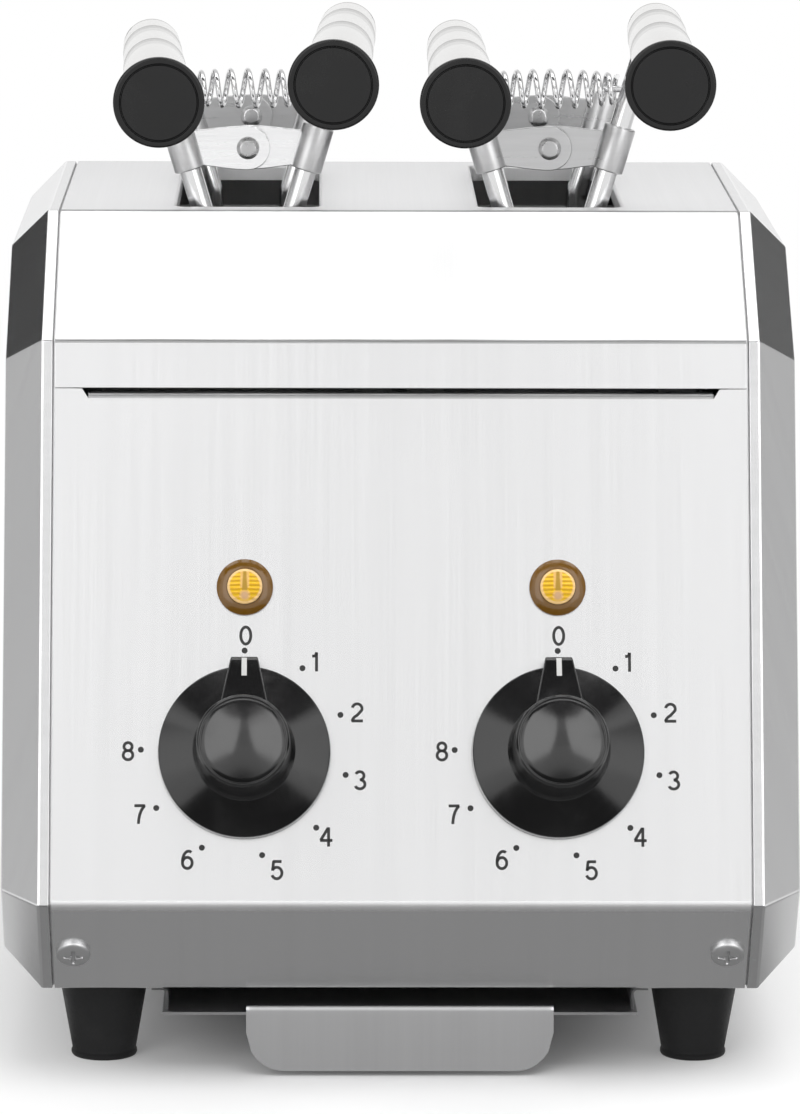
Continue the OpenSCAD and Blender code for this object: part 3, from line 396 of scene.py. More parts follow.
class Surface:
    """Patches of one piece, in millimetres, each with the number of its finish."""

    def __init__(self):
        self.points, self.faces, self.tints, self.count = [], [], [], 0

    def add(self, points, faces, tint=0):
        """Points and rows of point numbers."""
        points = np.asarray(points, float).reshape(-1, 3)
        rows = (np.asarray(faces, int) + self.count).tolist()
        self.points.append(points)
        self.faces += rows
        self.tints += [tint] * len(rows)
        self.count += len(points)

    def patch(self, grid, rows_meet=False, columns_meet=False, tint=0):
        """Quads between neighbours of a grid of points; rows or columns may close on themselves."""
        rows, columns = grid.shape[:2]
        i, j = np.meshgrid(np.arange(rows - (not rows_meet)), np.arange(columns - (not columns_meet)), indexing="ij")
        k, m = (i + 1) % rows, (j + 1) % columns
        quads = np.stack([i * columns + j, i * columns + m, k * columns + m, k * columns + j], -1)
        self.add(grid, quads.reshape(-1, 4), tint)

    def lid(self, ring, tint=0):
        """One flat face on a ring of points."""
        self.add(ring, np.arange(len(ring))[None], tint)

    def solid_of_turn(self, profile, place, n=64, tint=0):
        """A closed profile turned about its frame's Z axis."""
        self.patch(held(turned(profile, n), place), columns_meet=True, tint=tint)

    def rod(self, path, radius, n=16, hint=(1, 0, 0), tint=0):
        """A tube with flat ends."""
        grid = tube(path, radius, n, hint)
        self.patch(grid, columns_meet=True, tint=tint)
        self.lid(grid[0], tint)
        self.lid(grid[-1], tint)

    def pierced(self, outer, holes, place, tint=0):
        """Flat sheet with holes: the outlines are cut into triangles in the frame's X-Y plane."""
        loops = [np.asarray(loop, float) for loop in (outer, *holes)]
        flat = [[Vector((x, y, 0)) for x, y in loop] for loop in loops]
        points = np.concatenate(loops)
        points = np.concatenate([points, np.zeros((len(points), 1))], 1)
        self.add(held(points, place), tessellate_polygon(flat), tint)

    def piece(self, name, body, finishes, replaces=(), slot=None, inside=None, sharp=35, thick=0.0, bevel=0.0,
              flat=False):
        """The patches as one mesh in metres: doubles merged, faces turned outwards, and edges sharp past an angle."""
        points = (np.concatenate(self.points) + [0, MIDDLE_Y, 0]) * MM
        mesh = bpy.data.meshes.new(name)
        mesh.from_pydata(points.tolist(), [], self.faces)
        mesh.polygons.foreach_set("material_index", self.tints)
        work = bmesh.new()
        work.from_mesh(mesh)
        bmesh.ops.remove_doubles(work, verts=work.verts, dist=MERGE)
        bmesh.ops.recalc_face_normals(work, faces=work.faces)
        if inside is not None:
            middle = Vector(((np.asarray(inside, float) + [0, MIDDLE_Y, 0]) * MM).tolist())
            if sum(f.calc_area() * f.normal.dot(f.calc_center_median() - middle) for f in work.faces) < 0:
                bmesh.ops.reverse_faces(work, faces=work.faces)
        work.to_mesh(mesh)
        work.free()
        mesh.polygons.foreach_set("use_smooth", np.ones(len(mesh.polygons), bool))
        mesh.set_sharp_from_angle(angle=math.radians(sharp))
        for finish in finishes:
            mesh.materials.append(finish)
        obj = bpy.data.objects.new(name, mesh)
        bpy.context.scene.collection.objects.link(obj)
        if thick:
            wall = obj.modifiers.new("wall", "SOLIDIFY")
            wall.thickness, wall.offset, wall.use_even_offset = thick * MM, -1.0, True
        if bevel:
            edge = obj.modifiers.new("edge", "BEVEL")
            edge.width, edge.segments, edge.limit_method = bevel * MM, 2, "ANGLE"
            edge.angle_limit = math.radians(BEVEL_PAST)
        if flat:
            normals = obj.modifiers.new("flats", "WEIGHTED_NORMAL")
            normals.keep_sharp = not (thick or bevel)
        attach(obj, body)
        if replaces:
            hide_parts(*replaces)
        return obj


class Nodes:
    """A node tree that is filled from left to right."""

    def __init__(self, tree):
        self.tree, self.x = tree, -900

    def add(self, kind, values=None, **settings):
        """One node with its settings; a value that is a socket is linked."""
        node = self.tree.nodes.new(kind)
        node.location = (self.x, 0)
        self.x += 170
        for key, value in settings.items():
            setattr(node, key, value)
        for key, value in (values or {}).items():
            if isinstance(value, bpy.types.NodeSocket):
                self.tree.links.new(value, node.inputs[key])
            else:
                node.inputs[key].default_value = value
        return node

    def maths(self, operation, a, b=0.0, c=0.0, clamp=False):
        """One sum of up to three values."""
        node = self.add("ShaderNodeMath", {0: a, 1: b, 2: c}, operation=operation, use_clamp=clamp)
        return node.outputs[0]

    def spread(self, value, low, high, to_low, to_high, smooth=False):
        """A value's range carried over to another one."""
        kind = "SMOOTHSTEP" if smooth else "LINEAR"
        return self.add("ShaderNodeMapRange", {"Value": value, "From Min": low, "From Max": high, "To Min": to_low,
                                               "To Max": to_high}, interpolation_type=kind).outputs["Result"]

    def mixed(self, share, a, b):
        """Two colours mixed by a share."""
        a, b = (v if isinstance(v, bpy.types.NodeSocket) else (*v, 1.0)[:4] for v in (a, b))
        return self.add("ShaderNodeMix", {0: share, 6: a, 7: b}, data_type="RGBA").outputs[2]

    def noise(self, place, scale, **values):
        """Noise at a place."""
        return self.add("ShaderNodeTexNoise", {"Vector": place, "Scale": scale, **values}).outputs[0]

    def stretched(self, place, factors):
        """A place times a factor along each axis."""
        return self.add("ShaderNodeVectorMath", {0: place, 1: factors}, operation="MULTIPLY").outputs[0]

    def seen(self):
        """One where the camera, a mirror or glass looks, and zero for light on matt surfaces."""
        path = self.add("ShaderNodeLightPath").outputs
        mirrored = self.maths("MAXIMUM", path["Is Glossy Ray"], path["Is Transmission Ray"])
        return self.maths("MAXIMUM", path["Is Camera Ray"], mirrored)

    def effect(self, group, **values):
        """The output of a shared effect with its own values."""
        return self.add("ShaderNodeGroup", values, node_tree=group).outputs[0]

    def feed(self, shader, tint, rough, height, strength, depth_mm):
        """A shader's colour, its roughness, and small relief from a height."""
        bump = self.add("ShaderNodeBump", {"Height": height, "Strength": strength, "Distance": depth_mm * MM})
        for key, value in (("Base Color", tint), ("Roughness", rough), ("Normal", bump.outputs[0])):
            self.tree.links.new(value, shader.inputs[key])


def effect_group(name, setting, kind, fill):
    """A node group of a place and one setting that is built once: its sockets, then its inside."""
    group = bpy.data.node_groups.get(name)
    if group:
        return group
    group = bpy.data.node_groups.new(name, "ShaderNodeTree")
    group.interface.new_socket(name="Vector", in_out="INPUT", socket_type="NodeSocketVector")
    group.interface.new_socket(name=setting, in_out="INPUT", socket_type=kind)
    group.interface.new_socket(name="Value", in_out="OUTPUT", socket_type="NodeSocketFloat")
    nodes = Nodes(group)
    given, result = nodes.add("NodeGroupInput").outputs, group.nodes.new("NodeGroupOutput")
    group.links.new(fill(nodes, given["Vector"], given[setting]), result.inputs["Value"])
    return group


def brush_lines():
    """Fine grinding lines: noise that is stretched along one direction, a broad layer and a fine one."""
    def fill(nodes, place, stretch):
        at = nodes.stretched(place, stretch)
        fine = nodes.noise(at, 1.0, Detail=3.0, Roughness=0.6)
        broad = nodes.noise(at, 0.17, Detail=2.0)
        both = nodes.maths("MULTIPLY_ADD", broad, 0.4, nodes.maths("MULTIPLY", fine, 0.6))
        return nodes.spread(both, 0.32, 0.68, 0.0, 1.0)
    return effect_group("Brush lines", "Stretch", "NodeSocketVector", fill)


def hand_marks():
    """Faint smears of handling: slow bent noise, broken up by a finer one."""
    def fill(nodes, place, size):
        slow = nodes.noise(place, size, Detail=2.0, Distortion=0.8)
        fine = nodes.noise(place, nodes.maths("MULTIPLY", size, 7.0), Detail=4.0)
        smears, flecks = nodes.spread(slow, 0.45, 0.7, 0.0, 1.0, True), nodes.spread(fine, 0.3, 0.75, 0.3, 1.0)
        return nodes.maths("MULTIPLY", smears, flecks)
    return effect_group("Hand marks", "Size", "NodeSocketFloat", fill)


def moulded_grain():
    """Grain of a moulded or cast skin: rounded cells with a fine noise on them."""
    def fill(nodes, place, size):
        cells = nodes.add("ShaderNodeTexVoronoi", {"Vector": place, "Scale": size}, feature="SMOOTH_F1")
        fine = nodes.noise(place, nodes.maths("MULTIPLY", size, 0.35), Detail=5.0)
        return nodes.maths("MULTIPLY_ADD", cells.outputs["Distance"], 0.5, nodes.maths("MULTIPLY", fine, 0.6))
    return effect_group("Moulded grain", "Size", "NodeSocketFloat", fill)


def new_finish(name, **values):
    """An empty material with its Principled shader and object coordinates."""
    material = bpy.data.materials.new(name)
    material.use_nodes = True
    shader = material.node_tree.nodes["Principled BSDF"]
    for key, value in values.items():
        shader.inputs[key.replace("_", " ")].default_value = value
    nodes = Nodes(material.node_tree)
    at = nodes.add("ShaderNodeTexCoord").outputs["Object"]
    material.diffuse_color = (*tuple(values.get("Base_Color", (0.5, 0.5, 0.5, 1.0)))[:3], 1.0)
    return material, nodes, shader, at


def shaded(tint, share):
    """A colour times a share."""
    return tuple(min(1.0, c * share) for c in tint)


def brushed_metal(name, tint, stretch, rough, spread=0.05, relief=0.05, contrast=0.05):
    """Ground sheet metal: lines vary its tint and roughness, and smears dull it a little."""
    material, nodes, shader, at = new_finish(name, Metallic=1.0)
    lines = nodes.effect(brush_lines(), Vector=at, Stretch=stretch)
    marks = nodes.effect(hand_marks(), Vector=at, Size=11.0)
    ground = nodes.mixed(lines, shaded(tint, 1 - contrast), shaded(tint, 1 + contrast))
    dulled = nodes.maths("MULTIPLY_ADD", marks, spread, nodes.spread(lines, 0, 1, rough - spread, rough + spread))
    nodes.feed(shader, ground, dulled, lines, relief, 0.05)
    return material


def polished_metal(name, tint, rough):
    """Bright metal with fine scratches in every direction and faint smears."""
    material, nodes, shader, at = new_finish(name, Metallic=1.0)
    grain = nodes.effect(moulded_grain(), Vector=at, Size=900.0)
    marks = nodes.effect(hand_marks(), Vector=at, Size=45.0)
    smeared = nodes.mixed(marks, tint, shaded(tint, 0.93))
    dulled = nodes.maths("MULTIPLY_ADD", marks, 0.08, nodes.spread(grain, 0.2, 0.8, rough * 0.8, rough * 1.2))
    nodes.feed(shader, smeared, dulled, grain, 0.03, 0.05)
    return material


def moulding(name, tint, rough, size, relief, index=1.45, dust=0.012):
    """Moulded plastic, rubber or ceramic: grain in its relief and roughness, and pale dust in its tint."""
    material, nodes, shader, at = new_finish(name, IOR=index)
    grain = nodes.effect(moulded_grain(), Vector=at, Size=size)
    marks = nodes.effect(hand_marks(), Vector=at, Size=60.0)
    dusty = nodes.mixed(marks, tint, tuple(c + dust for c in tint))
    dulled = nodes.maths("MULTIPLY_ADD", marks, 0.1, nodes.spread(grain, 0.2, 0.8, rough * 0.85, rough * 1.15))
    nodes.feed(shader, dusty, dulled, grain, relief, 0.1)
    return material


def amber_glass(name, tint):
    """Lens of a pilot lamp from its UV map: ridges of painted light and shade that go from bright to dark by a sine, a
    pale rim, and in the middle a pale frame round a dull column over a pale round foot."""
    ridge_count, foot_y, rim_r = 8.4, -0.27, 0.43
    pale_frame, dull_column = (0.76, 0.46, 0.14), (0.42, 0.25, 0.03)
    pale_foot, pale_rim = (0.62, 0.38, 0.2), (0.93, 0.62, 0.27)
    material, nodes, shader, _ = new_finish(name, Roughness=0.2, IOR=1.45)
    uv = nodes.add("ShaderNodeUVMap", uv_map="face").outputs[0]
    split = nodes.add("ShaderNodeSeparateXYZ", {0: uv}).outputs
    x, y = nodes.maths("SUBTRACT", split[0], 0.5), nodes.maths("SUBTRACT", split[1], 0.5)
    wide, low = nodes.maths("ABSOLUTE", x), nodes.maths("MULTIPLY", y, -1.0)

    def reach(up):
        high = nodes.maths("SUBTRACT", y, up)
        return nodes.maths("SQRT", nodes.maths("MULTIPLY_ADD", x, x, nodes.maths("MULTIPLY", high, high)))

    def inside(value, edge, soft=0.025):
        return nodes.spread(value, edge - soft, edge + soft, 1.0, 0.0, True)

    # Painted light and shade on the ridges: a sine sets the share of the amber against a darker copy of it.
    wave = nodes.maths("SINE", nodes.maths("MULTIPLY", y, 2 * math.pi * ridge_count))
    ridges = nodes.spread(wave, -0.7, 0.8, 0.0, 1.0, True)
    foot = reach(foot_y)
    post = nodes.maths("MULTIPLY", inside(wide, 0.125), inside(low, 0.06))
    outline = nodes.maths("MAXIMUM", post, inside(foot, 0.155))
    narrowing = nodes.maths("MULTIPLY_ADD", y, 0.06, wide)
    column = nodes.maths("MULTIPLY", inside(narrowing, 0.07), inside(low, 0.13))
    body = nodes.mixed(ridges, tint, (tint[0] * 0.7, tint[1] * 0.6, tint[2] * 0.2))
    body = nodes.mixed(outline, body, pale_frame)
    body = nodes.mixed(column, body, dull_column)
    body = nodes.mixed(inside(foot, 0.1), body, pale_foot)
    body = nodes.mixed(inside(reach(0.0), rim_r), pale_rim, body)
    material.node_tree.links.new(body, shader.inputs["Base Color"])
    return material


def finishes_of(context):
    """All the finishes in the colours of the sidebar: a maker, the material's name, its tint and the maker's values."""
    c = context.scene.toaster.colours
    return {
        "shell": (brushed_metal, "shell steel", c.steel, LINES_UP_FRONT, 0.24, 0.008, 0.015, 0.018),
        # The slope steel is shell steel made brighter and rougher: a painted highlight of the overhead light on the
        # hood's front slope.
        "top": (brushed_metal, "top steel", shaded(c.steel, 1.19), LINES_UP_FRONT, 0.5, 0.01, 0.015, 0.018),
        "cover": (brushed_metal, "cover steel", c.steel, LINES_UP_SIDE, 0.24, 0.01, 0.02, 0.02),
        # The flat steel is shell steel a little darker and rougher: a slight painted shade on the hood's flat, rear
        # slope and slot rims.
        "flat": (brushed_metal, "flat steel", shaded(c.steel, 0.98), LINES_UP_FRONT, 0.44, 0.01, 0.015, 0.018),
        # The flange steel is cover steel made darker: painted shade on the side covers' flange strips.
        "flange": (brushed_metal, "flange steel", shaded(c.steel, 0.86), LINES_UP_SIDE, 0.26, 0.01, 0.02, 0.02),
        "bend": (brushed_metal, "bend steel", c.steel, LINES_UP_FRONT, 0.52, 0.01, 0.015, 0.018),
        # The fold steel is shell steel at half its brightness: painted shade along the hood's folds and on the slit's
        # rolled lip.
        "fold": (brushed_metal, "fold steel", shaded(c.steel, 0.5), LINES_UP_FRONT, 0.34, 0.01, 0.015, 0.03),
        # The seam steel is cover steel made darker: painted shade in the joint where a cover tucks under the shell.
        "seam": (brushed_metal, "seam steel", shaded(c.steel, 0.8), LINES_UP_SIDE, 0.5),
        "wire": (polished_metal, "bright wire", c.wire, 0.16),
        "rivet": (polished_metal, "rivet steel", shaded(c.wire, 0.66), 0.3),
        "screw": (polished_metal, "screw steel", shaded(c.wire, 0.9), 0.42),
        # The two plate finishes are a darker and a brighter copy of the wire's steel: painted shade on the rear plates,
        # the barrels and the right tong's front plates, and a painted highlight on the left tong's front plates.
        "dull_plate": (brushed_metal, "dull plate steel", shaded(c.wire, 0.72), LINES_ON_PLATE, 0.3, 0.05, 0.06),
        "plate": (brushed_metal, "plate steel", shaded(c.wire, 1.18), LINES_ON_PLATE, 0.24, 0.05, 0.06),
        "handle": (brushed_metal, "handle metal", c.handle, LINES_ON_SLEEVE, 0.18, 0.02, 0.01, 0.02),
        # The ring and fade finishes are darker copies of the handle metal: painted shade in a band from each sleeve
        # ring towards the cap, then a fainter band of it.
        "handle_ring": (brushed_metal, "handle ring", shaded(c.handle, 0.68), LINES_ON_SLEEVE, 0.24, 0.02, 0.01, 0.02),
        "handle_fade": (brushed_metal, "handle fade", shaded(c.handle, 0.84), LINES_ON_SLEEVE, 0.21, 0.02, 0.01, 0.02),
        "tray": (brushed_metal, "tray steel", c.tray, LINES_ON_TRAY, 0.34, 0.015, 0.02, 0.02),
        "inner": (brushed_metal, "inner sheet", c.inner, LINES_INSIDE, 0.45, 0.08),
        "black": (moulding, "black moulding", c.black, 0.16, 1500.0, 0.02, 1.7, 0.003),
        "cap": (moulding, "cap moulding", c.black, 0.24, 1100.0, 0.04, 1.42, 0.004),
        "rubber": (moulding, "foot rubber", c.rubber, 0.55, 1300.0, 0.2, 1.4, 0.006),
        "pale": (moulding, "pale moulding", c.pale, 0.5, 900.0, 0.1),
        "quartz": (moulding, "quartz", c.quartz, 0.18, 500.0, 0.03),
        "bezel": (moulding, "lamp bezel", c.bezel, 0.14, 1200.0, 0.02, 1.55, 0.01),
        "amber": (amber_glass, "amber lens", c.amber),
        "print": (moulding, "dial print", c.print, 0.45, 2500.0, 0.05),
        "line": (moulding, "pointer line", c.line, 0.4, 2500.0, 0.05),
    }


def finish(context, *keys):
    """The materials of the named finishes, each made on its first use."""
    known = finishes_of(context)
    return [bpy.data.materials.get(name) or maker(name, *values)
            for maker, name, *values in (known[key] for key in keys)]


class TOASTER_OT_hood(bpy.types.Operator):
    """Folded hood: a rounded line of depth and height carried across the body, with two rolled slots in its flat"""
    bl_idname = "toaster.hood"
    bl_label = "Hood"

    def execute(self, context):
        s = shell_of(context)
        # Finish numbers: plain steel, the front slope's painted highlight, the folds' painted shade, and matt steel
        # with a slight painted shade.
        plain, bright, fold_shade, matt = range(4)
        steps = 8
        line = [[-s.panel_y(s.lip_z), s.lip_z], *s.profile[-2:].tolist(), [0, s.body_h]]
        line = fillet(line, s.fold_r, steps)[:-1]
        low, high = 1, 2 + steps
        hood = Surface()
        for way in (1, -1):
            sheet = grid_of(np.array([[-s.half_w, s.half_w]]), way * line[:, :1], line[:, 1:])
            # The front slope takes the painted highlight, and the rear slope takes the matt steel with its slight
            # painted shade.
            slope = bright if way > 0 else matt
            for start, end, tint in ((0, low, plain), (low, low + steps, fold_shade), (low + steps, high, slope),
                                     (high, high + steps, fold_shade)):
                hood.patch(sheet[start:end + 1], tint=tint)
        y = line[-1, 0]
        outer = [[s.half_w, y], [s.half_w, -y], [-s.half_w, -y], [-s.half_w, y]]
        turn = np.linspace(0, np.pi / 2, 7)
        rolled = [(s.rim_r * (1 - math.sin(a)), s.rim_r * (1 - math.cos(a))) for a in turn] + [(0, s.rim)]
        loop = lambda out: rounded_loop(s.slot_w + 2 * out, s.slot_l + 2 * out, s.slot_r + out)
        holes = []
        for x in (-s.slot_x, s.slot_x):
            rings = np.array([np.insert(loop(out), 2, s.body_h - down, axis=1) for out, down in rolled]) + [x, 0, 0]
            hood.patch(rings, columns_meet=True, tint=matt)
            holes.append(rings[0][::-1, :2])
        hood.pierced(outer, holes, ([0, 0, s.body_h], np.eye(3)), tint=matt)
        hood.piece("hood_sheet", "case", finish(context, "shell", "top", "fold", "flat"), ["hood"], "shell_steel",
                   inside=(0, 0, 100), thick=s.sheet, bevel=SHEET_EDGE, flat=True)
        return {"FINISHED"}


class TOASTER_OT_panels(bpy.types.Operator):
    """Front and rear panels: one bent line carried across, with a slit on top in front and vents behind"""
    bl_idname = "toaster.panels"
    bl_label = "Panels"

    def execute(self, context):
        s, settings = shell_of(context), context.scene.toaster
        b, k = Values(settings.base), Values(settings.controls)
        # Finish numbers: plain steel, painted shade for the slit's rolled lip, and the rougher bend.
        plain, fold_shade, bent = range(3)
        turn_in, foot_r, steps = 8, 1.6, 8
        slit_drop, slit_roll, slant = 0.8, 2.4, 1.8
        vents, vent_w, vent_l, vent_r, vent_pitch, vent_h = 9, 3, 34, 1.49, 14, 160
        knob_hole, lamp_hole, gland_hole, round_n = 5.1, 4.85, 6.1, 40
        top = s.panel_top - s.slit_h
        line = fillet([[-s.bottom_y + turn_in, s.under_h], [-s.bottom_y, s.under_h], [-s.bend_y, s.bend_h],
                       [-s.panel_y(top), top]], [0, foot_r, s.bend_r, 0], steps)[:-1]
        bend, low = 2 + steps, line[-1, 1]
        rise = lambda z: (z - low) / math.cos(s.lean)
        slit, edge = rise(top) - slit_drop, rise(top) + s.slit_h / math.cos(s.lean)
        right, end = s.half_w, s.slit_w / 2
        for name, behind in (("front_panel", False), ("rear_panel", True)):
            panel, place = Surface(), on_panel(s, 0, low, behind)
            way = np.array([-1, -1, 1]) if behind else np.array([1, 1, 1])
            across = [-right, right] if behind else [-right, -end, end, right]
            grid = grid_of(np.array([across]), line[:, :1], line[:, 1:]) * way
            panel.patch(grid[:bend + 1], tint=plain)
            panel.patch(grid[bend:], tint=bent)
            if behind:
                outer = [[-right, 0], [right, 0], [right, edge], [-right, edge]]
                vent = rounded_loop(vent_w, vent_l, vent_r)
                holes = [vent + [(i - vents // 2) * vent_pitch, rise(vent_h)] for i in range(vents)]
                holes.append(circle(gland_hole, round_n) + [0, rise(b.gland_h)])
            else:
                outer = [[-right, 0], [-end, 0], [end, 0], [right, 0], [right, edge], [end + slant, edge],
                         [end, slit], [-end, slit], [-end - slant, edge], [-right, edge]]
                # The slit's rolled lip takes painted shade where shade falls into the slit.
                roll = np.linspace(0, np.pi / 2, 9)[:, None]
                lip = grid_of(np.array([[-end, end]]), slit + slit_roll * np.sin(roll), slit_roll * (np.cos(roll) - 1))
                panel.patch(held(lip, place), tint=fold_shade)
                holes = [circle(r, round_n) + [x, rise(z)] for x in (-s.slot_x, s.slot_x)
                         for r, z in ((knob_hole, k.knob_h), (lamp_hole, k.lamp_h))]
            panel.pierced(outer, [hole[::-1] for hole in holes], place, tint=plain)
            panel.piece(name + "_sheet", "case", finish(context, "shell", "fold", "bend"), [name], "shell_steel",
                        inside=(0, 0, 100), thick=s.sheet, bevel=SHEET_EDGE, flat=True)
        return {"FINISHED"}


class TOASTER_OT_side_covers(bpy.types.Operator):
    """Side covers: the body's outline moved in by a distance and outwards across, ring by ring, then closed flat"""
    bl_idname = "toaster.side_covers"
    bl_label = "Side covers"

    def execute(self, context):
        s = shell_of(context)
        # Finish numbers: plain cover steel, painted shade in the joint under the shell, and painted shade on the flange
        # strip.
        plain, joint, lower = range(3)
        edge, half, under = s.edge_x, s.body_w / 2, s.sheet + 0.1
        step_in, step_out, flat_ring = edge - 0.35, edge + 0.05, s.bevel + 8
        walk = fillet([[edge - s.joggle, under], [step_in, under], [step_out, 0.02], [edge + s.flange, 0.0],
                       [half, s.bevel], [half, flat_ring]], [0, 0.2, 0.25, 1.2, 1.4, 0], 6)
        seam, bend = (int(np.argmax(walk[:, 0] > x)) for x in (edge - 0.2, edge + s.flange - 1.3))
        ahead = unit(np.roll(s.profile, -1, axis=0) - s.profile)
        inward = np.stack([ahead[:, 1], -ahead[:, 0]], -1)
        before = np.roll(inward, 1, axis=0)
        corner = (inward + before) / (1 + (inward * before).sum(1, keepdims=True))
        rings = np.array([np.insert(fillet(s.profile + d * corner, s.cover_r, 6, closed=True), 0, x, axis=1)
                          for x, d in walk])
        for side, way in SIDES:
            cover = Surface()
            placed = rings * [way, 1, 1]
            for first, last, tint in ((0, seam, joint), (seam, bend, lower), (bend, len(walk) - 1, plain)):
                cover.patch(placed[first:last + 1], columns_meet=True, tint=tint)
            cover.lid(placed[-1])
            cover.piece(f"side_cover_{side}_sheet", "case", finish(context, "cover", "seam", "flange"),
                        [f"side_cover_{side}"], "shell_steel", inside=(0, 0, 120), thick=s.sheet, flat=True)
        return {"FINISHED"}


class TOASTER_OT_knobs(bpy.types.Operator):
    """Pointer knobs: a turned skirt and blunt domed hub, and a wedge whose width and height fall towards its tip"""
    bl_idname = "toaster.knobs"
    bl_label = "Knobs"

    def execute(self, context):
        s, k = shell_of(context), Values(context.scene.toaster.controls)
        skirt, hub, dome, top = k.knob_d / 2, k.hub_d / 2, k.dome_d / 2, k.knob_t
        bore, gap, band_h, flare_h, neck_h = 3.1, 0.8, 3.9, 8.9, 11.0
        fall_off, blunt = 0.42, 5
        face = lambda r: top - fall_off * (np.sqrt(r ** 2 + blunt ** 2) - blunt)
        edge = dome - 1.6
        line = [[bore, gap], [skirt, gap], [skirt - 0.22, band_h], [hub + 0.9, flare_h], [hub, neck_h],
                [dome + 0.05, top - 4.8], [dome, top - 3.9], [dome - 0.7, top - 3.1], [dome - 1.1, top - 3.5],
                [edge, face(edge)]]
        line = fillet(line, [0, 0.15, 0.6, 0.5, 0.8, 0.3, 0.4, 0.2, 0.15, 0], 7)
        crown = edge * (1 - np.linspace(0, 1, 16)[1:, None])
        profile = np.concatenate([line, np.concatenate([crown, face(crown)], 1)])
        root, tip, back_h, front_h, foot_h = 6, skirt + 1.9, 14.5, 9.5, 1.6
        root_w, tip_w = 8.0, 3.8
        ridge = fillet([[root, back_h], [dome, back_h], [tip - 1, front_h], [tip, front_h - 1]], [0, 1.0, 0.5, 0], 5)
        r, z = ridge[:, 0], ridge[:, 1]
        half = root_w + (tip_w - root_w) * (r - root) / (tip - root)
        rings = np.stack([grid_of(w, r, h) for w, h in ((-half, foot_h), (-half, z), (half, z), (half, foot_h))], 1)
        mark_r = np.array([tip - 5.7, tip - 1.1, tip - 0.35])[:, None]
        fall = (back_h - front_h) * (np.minimum(mark_r, tip - 1) - dome) / (tip - 1 - dome)
        mark_z = back_h + 0.05 - fall - np.maximum(mark_r - tip + 1, 0)
        mark = grid_of(np.array([[-k.mark_w, k.mark_w]]) / 2, mark_r, mark_z)
        for side, way in SIDES:
            place = on_panel(s, way * s.slot_x, k.knob_h)
            knob = Surface()
            knob.solid_of_turn(profile, place, 96)
            knob.patch(held(rings, place), columns_meet=True)
            knob.lid(held(rings[-1], place))
            knob.lid(held(rings[0], place))
            knob.patch(held(mark, place), tint=1)
            knob.piece(f"knob_{side}_moulding", f"knob_{side}", finish(context, "black", "line"), [f"knob_{side}"],
                       "black_moulding", sharp=40, bevel=0.35)
        return {"FINISHED"}


class TOASTER_OT_dials(bpy.types.Operator):
    """Printed dials: a ring of dots, one each step, and plain digits, just proud of the panel"""
    bl_idname = "toaster.dials"
    bl_label = "Dials"

    def execute(self, context):
        s, k = shell_of(context), Values(context.scene.toaster.controls)
        digits_at = [(0.3, 33.6), (20.0, 26.1), (31.9, 11.7), (32.7, -7.6), (23.2, -23.7), (9.3, -33.1),
                     (-16.0, -30.2), (-29.5, -17.3), (-32.9, 0.6)]
        proud, half_stroke = 0.06, 0.077 * k.digit_h
        for side, way in SIDES:
            origin, axes = on_panel(s, way * s.slot_x, k.knob_h)
            place = (origin - axes[1] * k.dial_drop, axes)
            dial = Surface()
            for i, middle in enumerate(digits_at):
                a = i * k.step
                dot = circle(k.dot_d / 2, 24) + [k.dot_r * math.sin(a), k.dot_r * math.cos(a)]
                dial.lid(held(np.insert(dot, 2, proud, axis=1), place))
                for line in self.strokes(i):
                    line = np.asarray(line, float) * k.digit_h
                    ahead = unit(np.gradient(line, axis=0))
                    beside = np.stack([-ahead[:, 1], ahead[:, 0]], -1) * half_stroke
                    band = np.stack([line - beside, line + beside], 1) + middle
                    dial.patch(held(np.insert(band, 2, proud, axis=2), place))
            dial.piece(f"dial_{side}", "case", finish(context, "print"), slot="black_moulding", inside=(0, 0, 100))
        return {"FINISHED"}

    @staticmethod
    def strokes(digit):
        """Middle lines of a digit in a box one high: straight runs, and parts of ellipses by cosine and sine."""
        def bow(x, y, a, b, start, end):
            t = np.radians(np.linspace(start, end, 37))
            return np.stack([x + a * np.cos(t), y + b * np.sin(t)], -1)

        def bent(*points):
            return fillet(points, 0.3, 8)

        return (
            [bow(0, 0, 0.26, 0.446, 0, 360)],
            [bent((-0.16, 0.3), (0.02, 0.31), (0.07, 0.5)), [(0.07, 0.5), (0.07, -0.5)]],
            [np.concatenate([bow(0, 0.2, 0.25, 0.246, 170, -25), bow(0.34, -0.5, 0.6, 0.42, 125, 172)]),
             [(-0.3, -0.446), (0.3, -0.446)]],
            [bow(-0.01, 0.235, 0.22, 0.211, 155, -90), bow(0, -0.211, 0.26, 0.235, 92, -158)],
            [[(0.1, 0.48), (-0.29, -0.17)], [(-0.32, -0.18), (0.32, -0.18)], [(0.12, 0.5), (0.12, -0.5)]],
            [[(0.24, 0.446), (-0.2, 0.446)], [(-0.17, 0.48), (-0.23, -0.03)],
             bow(-0.01, -0.15, 0.265, 0.296, 150, -158)],
            [bow(0, -0.16, 0.25, 0.286, 0, 360), bow(0.06, -0.1, 0.31, 0.546, 180, 62)],
            [[(-0.28, 0.446), (0.28, 0.446)], bow(0.52, -0.5, 0.58, 1.05, 116, 180)],
            [bow(0, 0.235, 0.21, 0.211, 0, 360), bow(0, -0.205, 0.25, 0.241, 0, 360)],
        )[digit]


